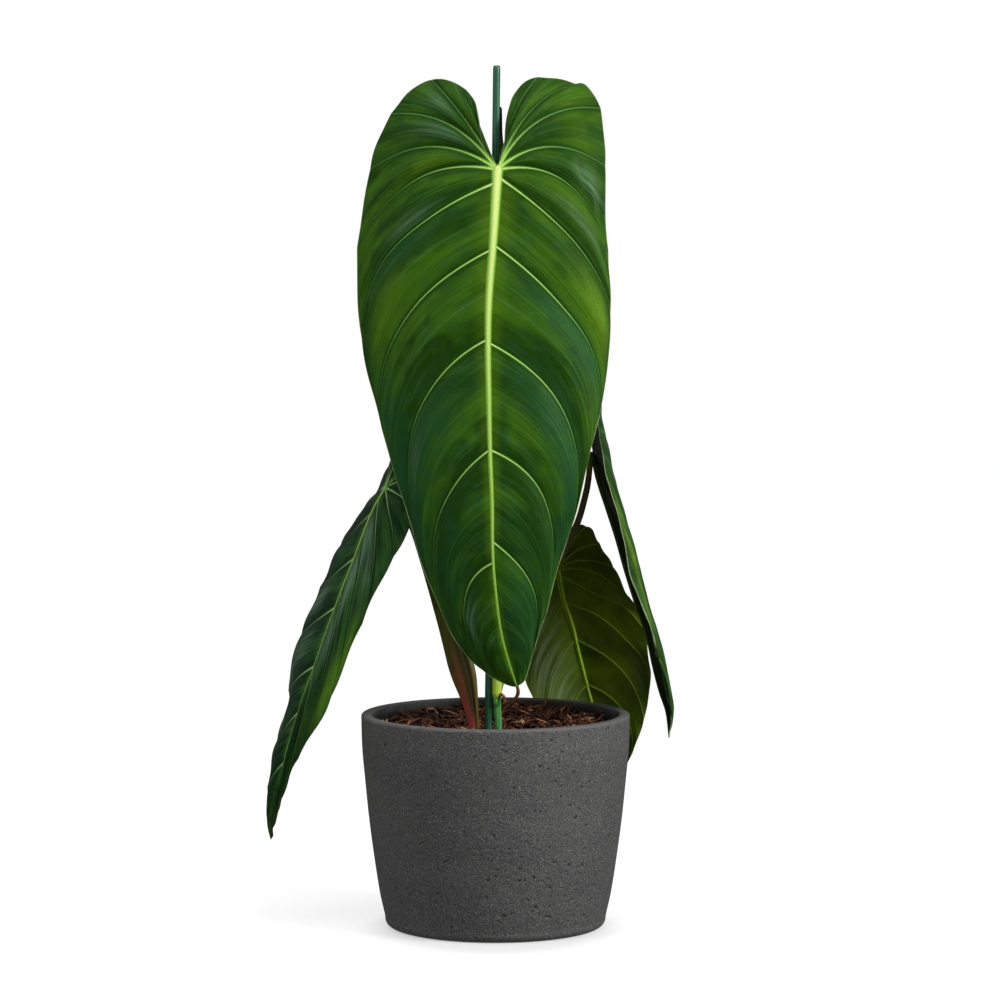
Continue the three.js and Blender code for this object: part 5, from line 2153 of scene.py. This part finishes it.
def plant_stalks() -> list[Stalk]:
    """Gives the stake, the stalks, the root and the old scale.

    Returns:
        The stalks, not yet built.
    """
    brown = FreshStalk(
        "petiole_skin_brown_green",
        stops=((0.0, "#5d6a22"), (0.25, "#4f4620"), (0.88, "#6a5238"), (1.0, "#8a9a3a")),
        streak="#3a3018",
    )
    # The front petiole goes near black along its middle: a dark brown skin with painted shade, as
    # it stands in shadow behind the front blade
    dark = FreshStalk(
        "petiole_skin_brown_and_painted_shade",
        stops=((0.0, "#55681f"), (0.12, "#3a4218"), (0.9, "#1a120e"), (1.0, "#7d9a35")),
        streak="#120c09",
    )
    stem_green = FreshStalk(
        "stem_skin_young_green",
        stops=((0.0, "#2c7a50"), (0.482, "#3f9a5c"), (0.5, "#c2de4e"), (1.0, "#c6e256")),
        streak="#a9cc40",
        roughness=0.36,
    )
    bark = DryBark()
    return [
        Stalk(
            piece=Piece("garden_stake", "stake", "stake"),
            finish=PlasticCoat(),
            points=[[stake_x(z), 0, z] for z in (22, 280, STAKE_TOP - 0.4)],
            radii=[[0, 2.6], [0.25, 2.6], [0.5, 2.33], [0.9985, 2.33], [1, 2.0]],
            lobe_depth=0.004,
            rough=0.004,
            sides=40,
            rows=260,
        ),
        Stalk(
            piece=Piece("main_stem", "stem", "stem"),
            finish=stem_green,
            points=[
                [2.6, -1.4, 96], [2.4, -1.4, 112], [1.9, -1.6, 129], [1.4, -2.3, 139],
                [1.25, -2.9, 147.5], [1.3, -2.9, 160], [2.3, -1.6, 178], [3.2, -0.6, 198],
            ],
            radii=[
                [0, 2.25], [0.475, 2.2], [0.492, 2.75], [0.52, 3.03], [0.8, 3.1], [0.97, 3.0],
                [1, 2.0],
            ],
            swellings=((0.51, 0.012, 0.25), (0.87, 0.012, 0.25)),
            sides=36,
        ),
        Stalk(
            piece=Piece("side_bud", "stem", "stem"),
            finish=FreshStalk(
                "bud_scale_green",
                stops=((0.0, "#3c7a34"), (0.5, "#5a9a34"), (0.8, "#66a038"), (1.0, "#7cb040")),
                streak="#3c6f24",
            ),
            points=[[0.7, -3.5, 138.6], [0.3, -4.1, 141.5], [0.1, -4.2, 144.5], [0, -3.8, 147]],
            radii=[[0, 0.5], [0.25, 1.35], [0.5, 1.6], [0.8, 1.1], [1, 0.3]],
            sides=20,
            rows=40,
            seed=6,
        ),
        Stalk(
            piece=Piece("front_petiole", "petiole_main", "petiole"),
            finish=dark,
            points=[
                [3.2, 1.5, 186], [3, 6.5, 206], [2.2, 9.4, 300], [1.8, 10, 420], [1.8, 10, 499],
                [1.8, 9.7, 511], [1.9, 7.4, 516], [2.1, 5.1, 511], [2.4, 4.7, 500], [3.7, 4.3, 490],
                [5.5, 1.4, 483.5], [5.4, -3.6, 479.6], [3.5, -8.4, 479], [1.7, -12.9, 479.2],
            ],
            radii=[[0, 3], [0.2, 2.7], [0.8, 2.3], [1, 2]],
            rows=260,
            seed=8,
        ),
        Stalk(
            piece=Piece("right_petiole", "petiole_right", "petiole"),
            finish=brown,
            points=[
                [2.4, -1.5, 172], [13, -0.5, 188], [31, 3, 217], [50.5, 6.5, 252], [57, 8, 273],
                [59.4, 8.8, 288], [59.6, 9, 299.6],
            ],
            radii=[[0, 2.8], [0.3, 2.3], [0.85, 2.0], [1, 1.8]],
            seed=12,
        ),
        Stalk(
            piece=Piece("back_petiole", "petiole_back", "petiole"),
            finish=brown,
            points=[
                [1.6, -2.6, 150], [6, 9, 166], [18, 32, 204], [29, 50, 225], [36, 60, 227.5],
                [39.7, 68.8, 220.4],
            ],
            radii=[[0, 2.8], [0.3, 2.3], [0.85, 2.0], [1, 1.8]],
            seed=14,
        ),
        Stalk(
            piece=Piece("hanging_root", "aerial_root", "dry_root"),
            finish=bark,
            points=[
                [2.4, -2.6, 158], [8.4, -2.2, 158.5], [12.8, -1.2, 154], [14.2, 0.4, 147.5],
                [11.2, 3, 142.6], [6.2, 5.4, 138.2], [3.4, 7.2, 133.6], [3.4, 8.2, 124],
                [3.6, 8.4, 104],
            ],
            radii=[[0, 1.3], [0.15, 1.1], [0.7, 0.95], [1, 0.8]],
            rough=0.07,
            lobes=3,
            lobe_depth=0.06,
            sides=18,
            seed=17,
        ),
        Stalk(
            piece=Piece("old_scale", "dry_leaf_scale", "dry_root"),
            finish=bark,
            points=[
                [1.8, -4.2, 146], [4, -6, 147.2], [5.8, -6.4, 145.4], [5.7, -6.6, 142.6],
                [4.3, -6.6, 141.6],
            ],
            radii=[[0, 1.1], [0.4, 0.95], [0.8, 0.8], [1, 0.45]],
            rough=0.08,
            lobes=3,
            lobe_depth=0.1,
            sides=18,
            rows=60,
            seed=18,
        ),
    ]


def left_sheath() -> Sheath:
    """Gives the left leaf's stalk with its open sheath.

    Returns:
        The sheath, not yet built.
    """
    return Sheath(
        piece=Piece("left_petiole", "petiole_left", "petiole"),
        finish=FreshStalk(
            "petiole_skin_open_sheath",
            stops=((0.0, "#64441c"), (0.3, "#5a5014"), (0.6, "#4a5212"), (1.0, "#5a6a22")),
            streak="#221c08",
            streak_share=0.6,
        ),
        points=[
            [-13.5, -6, 96], [-13.6, -5, 124], [-17, -4, 144], [-21.6, -2, 161],
            [-30, 1, 188], [-37, 4, 207], [-44.6, 8, 229], [-52, 12.5, 251],
            [-60.5, 17.5, 270], [-65, 20, 278], [-67.6, 21.4, 277.8],
        ],
        half_width=[
            [0, 3.4], [0.15, 3.9], [0.25, 7.2], [0.34, 10], [0.48, 8], [0.6, 5.5],
            [0.7, 4], [0.83, 3], [1, 2.2],
        ],
        opening=[[0, 0.25], [0.2, 0.75], [0.34, 1], [0.5, 0.9], [0.7, 0.5], [0.85, 0]],
    )


def main() -> None:
    """Builds the pieces in order."""
    logging.basicConfig(level=logging.INFO, format="%(message)s")
    Studio().build()
    Pot(Piece("clay_pot", "pot", "pot_clay"), FibreClay()).build()
    Substrate(Piece("coir_mix", "substrate", "soil"), CoirShreds()).build()
    for stalk in plant_stalks():
        stalk.build()
    left_sheath().build()
    for blade in (front_blade(), left_blade(), right_blade(), back_blade()):
        blade.build()


if __name__ == "__main__":
    main()
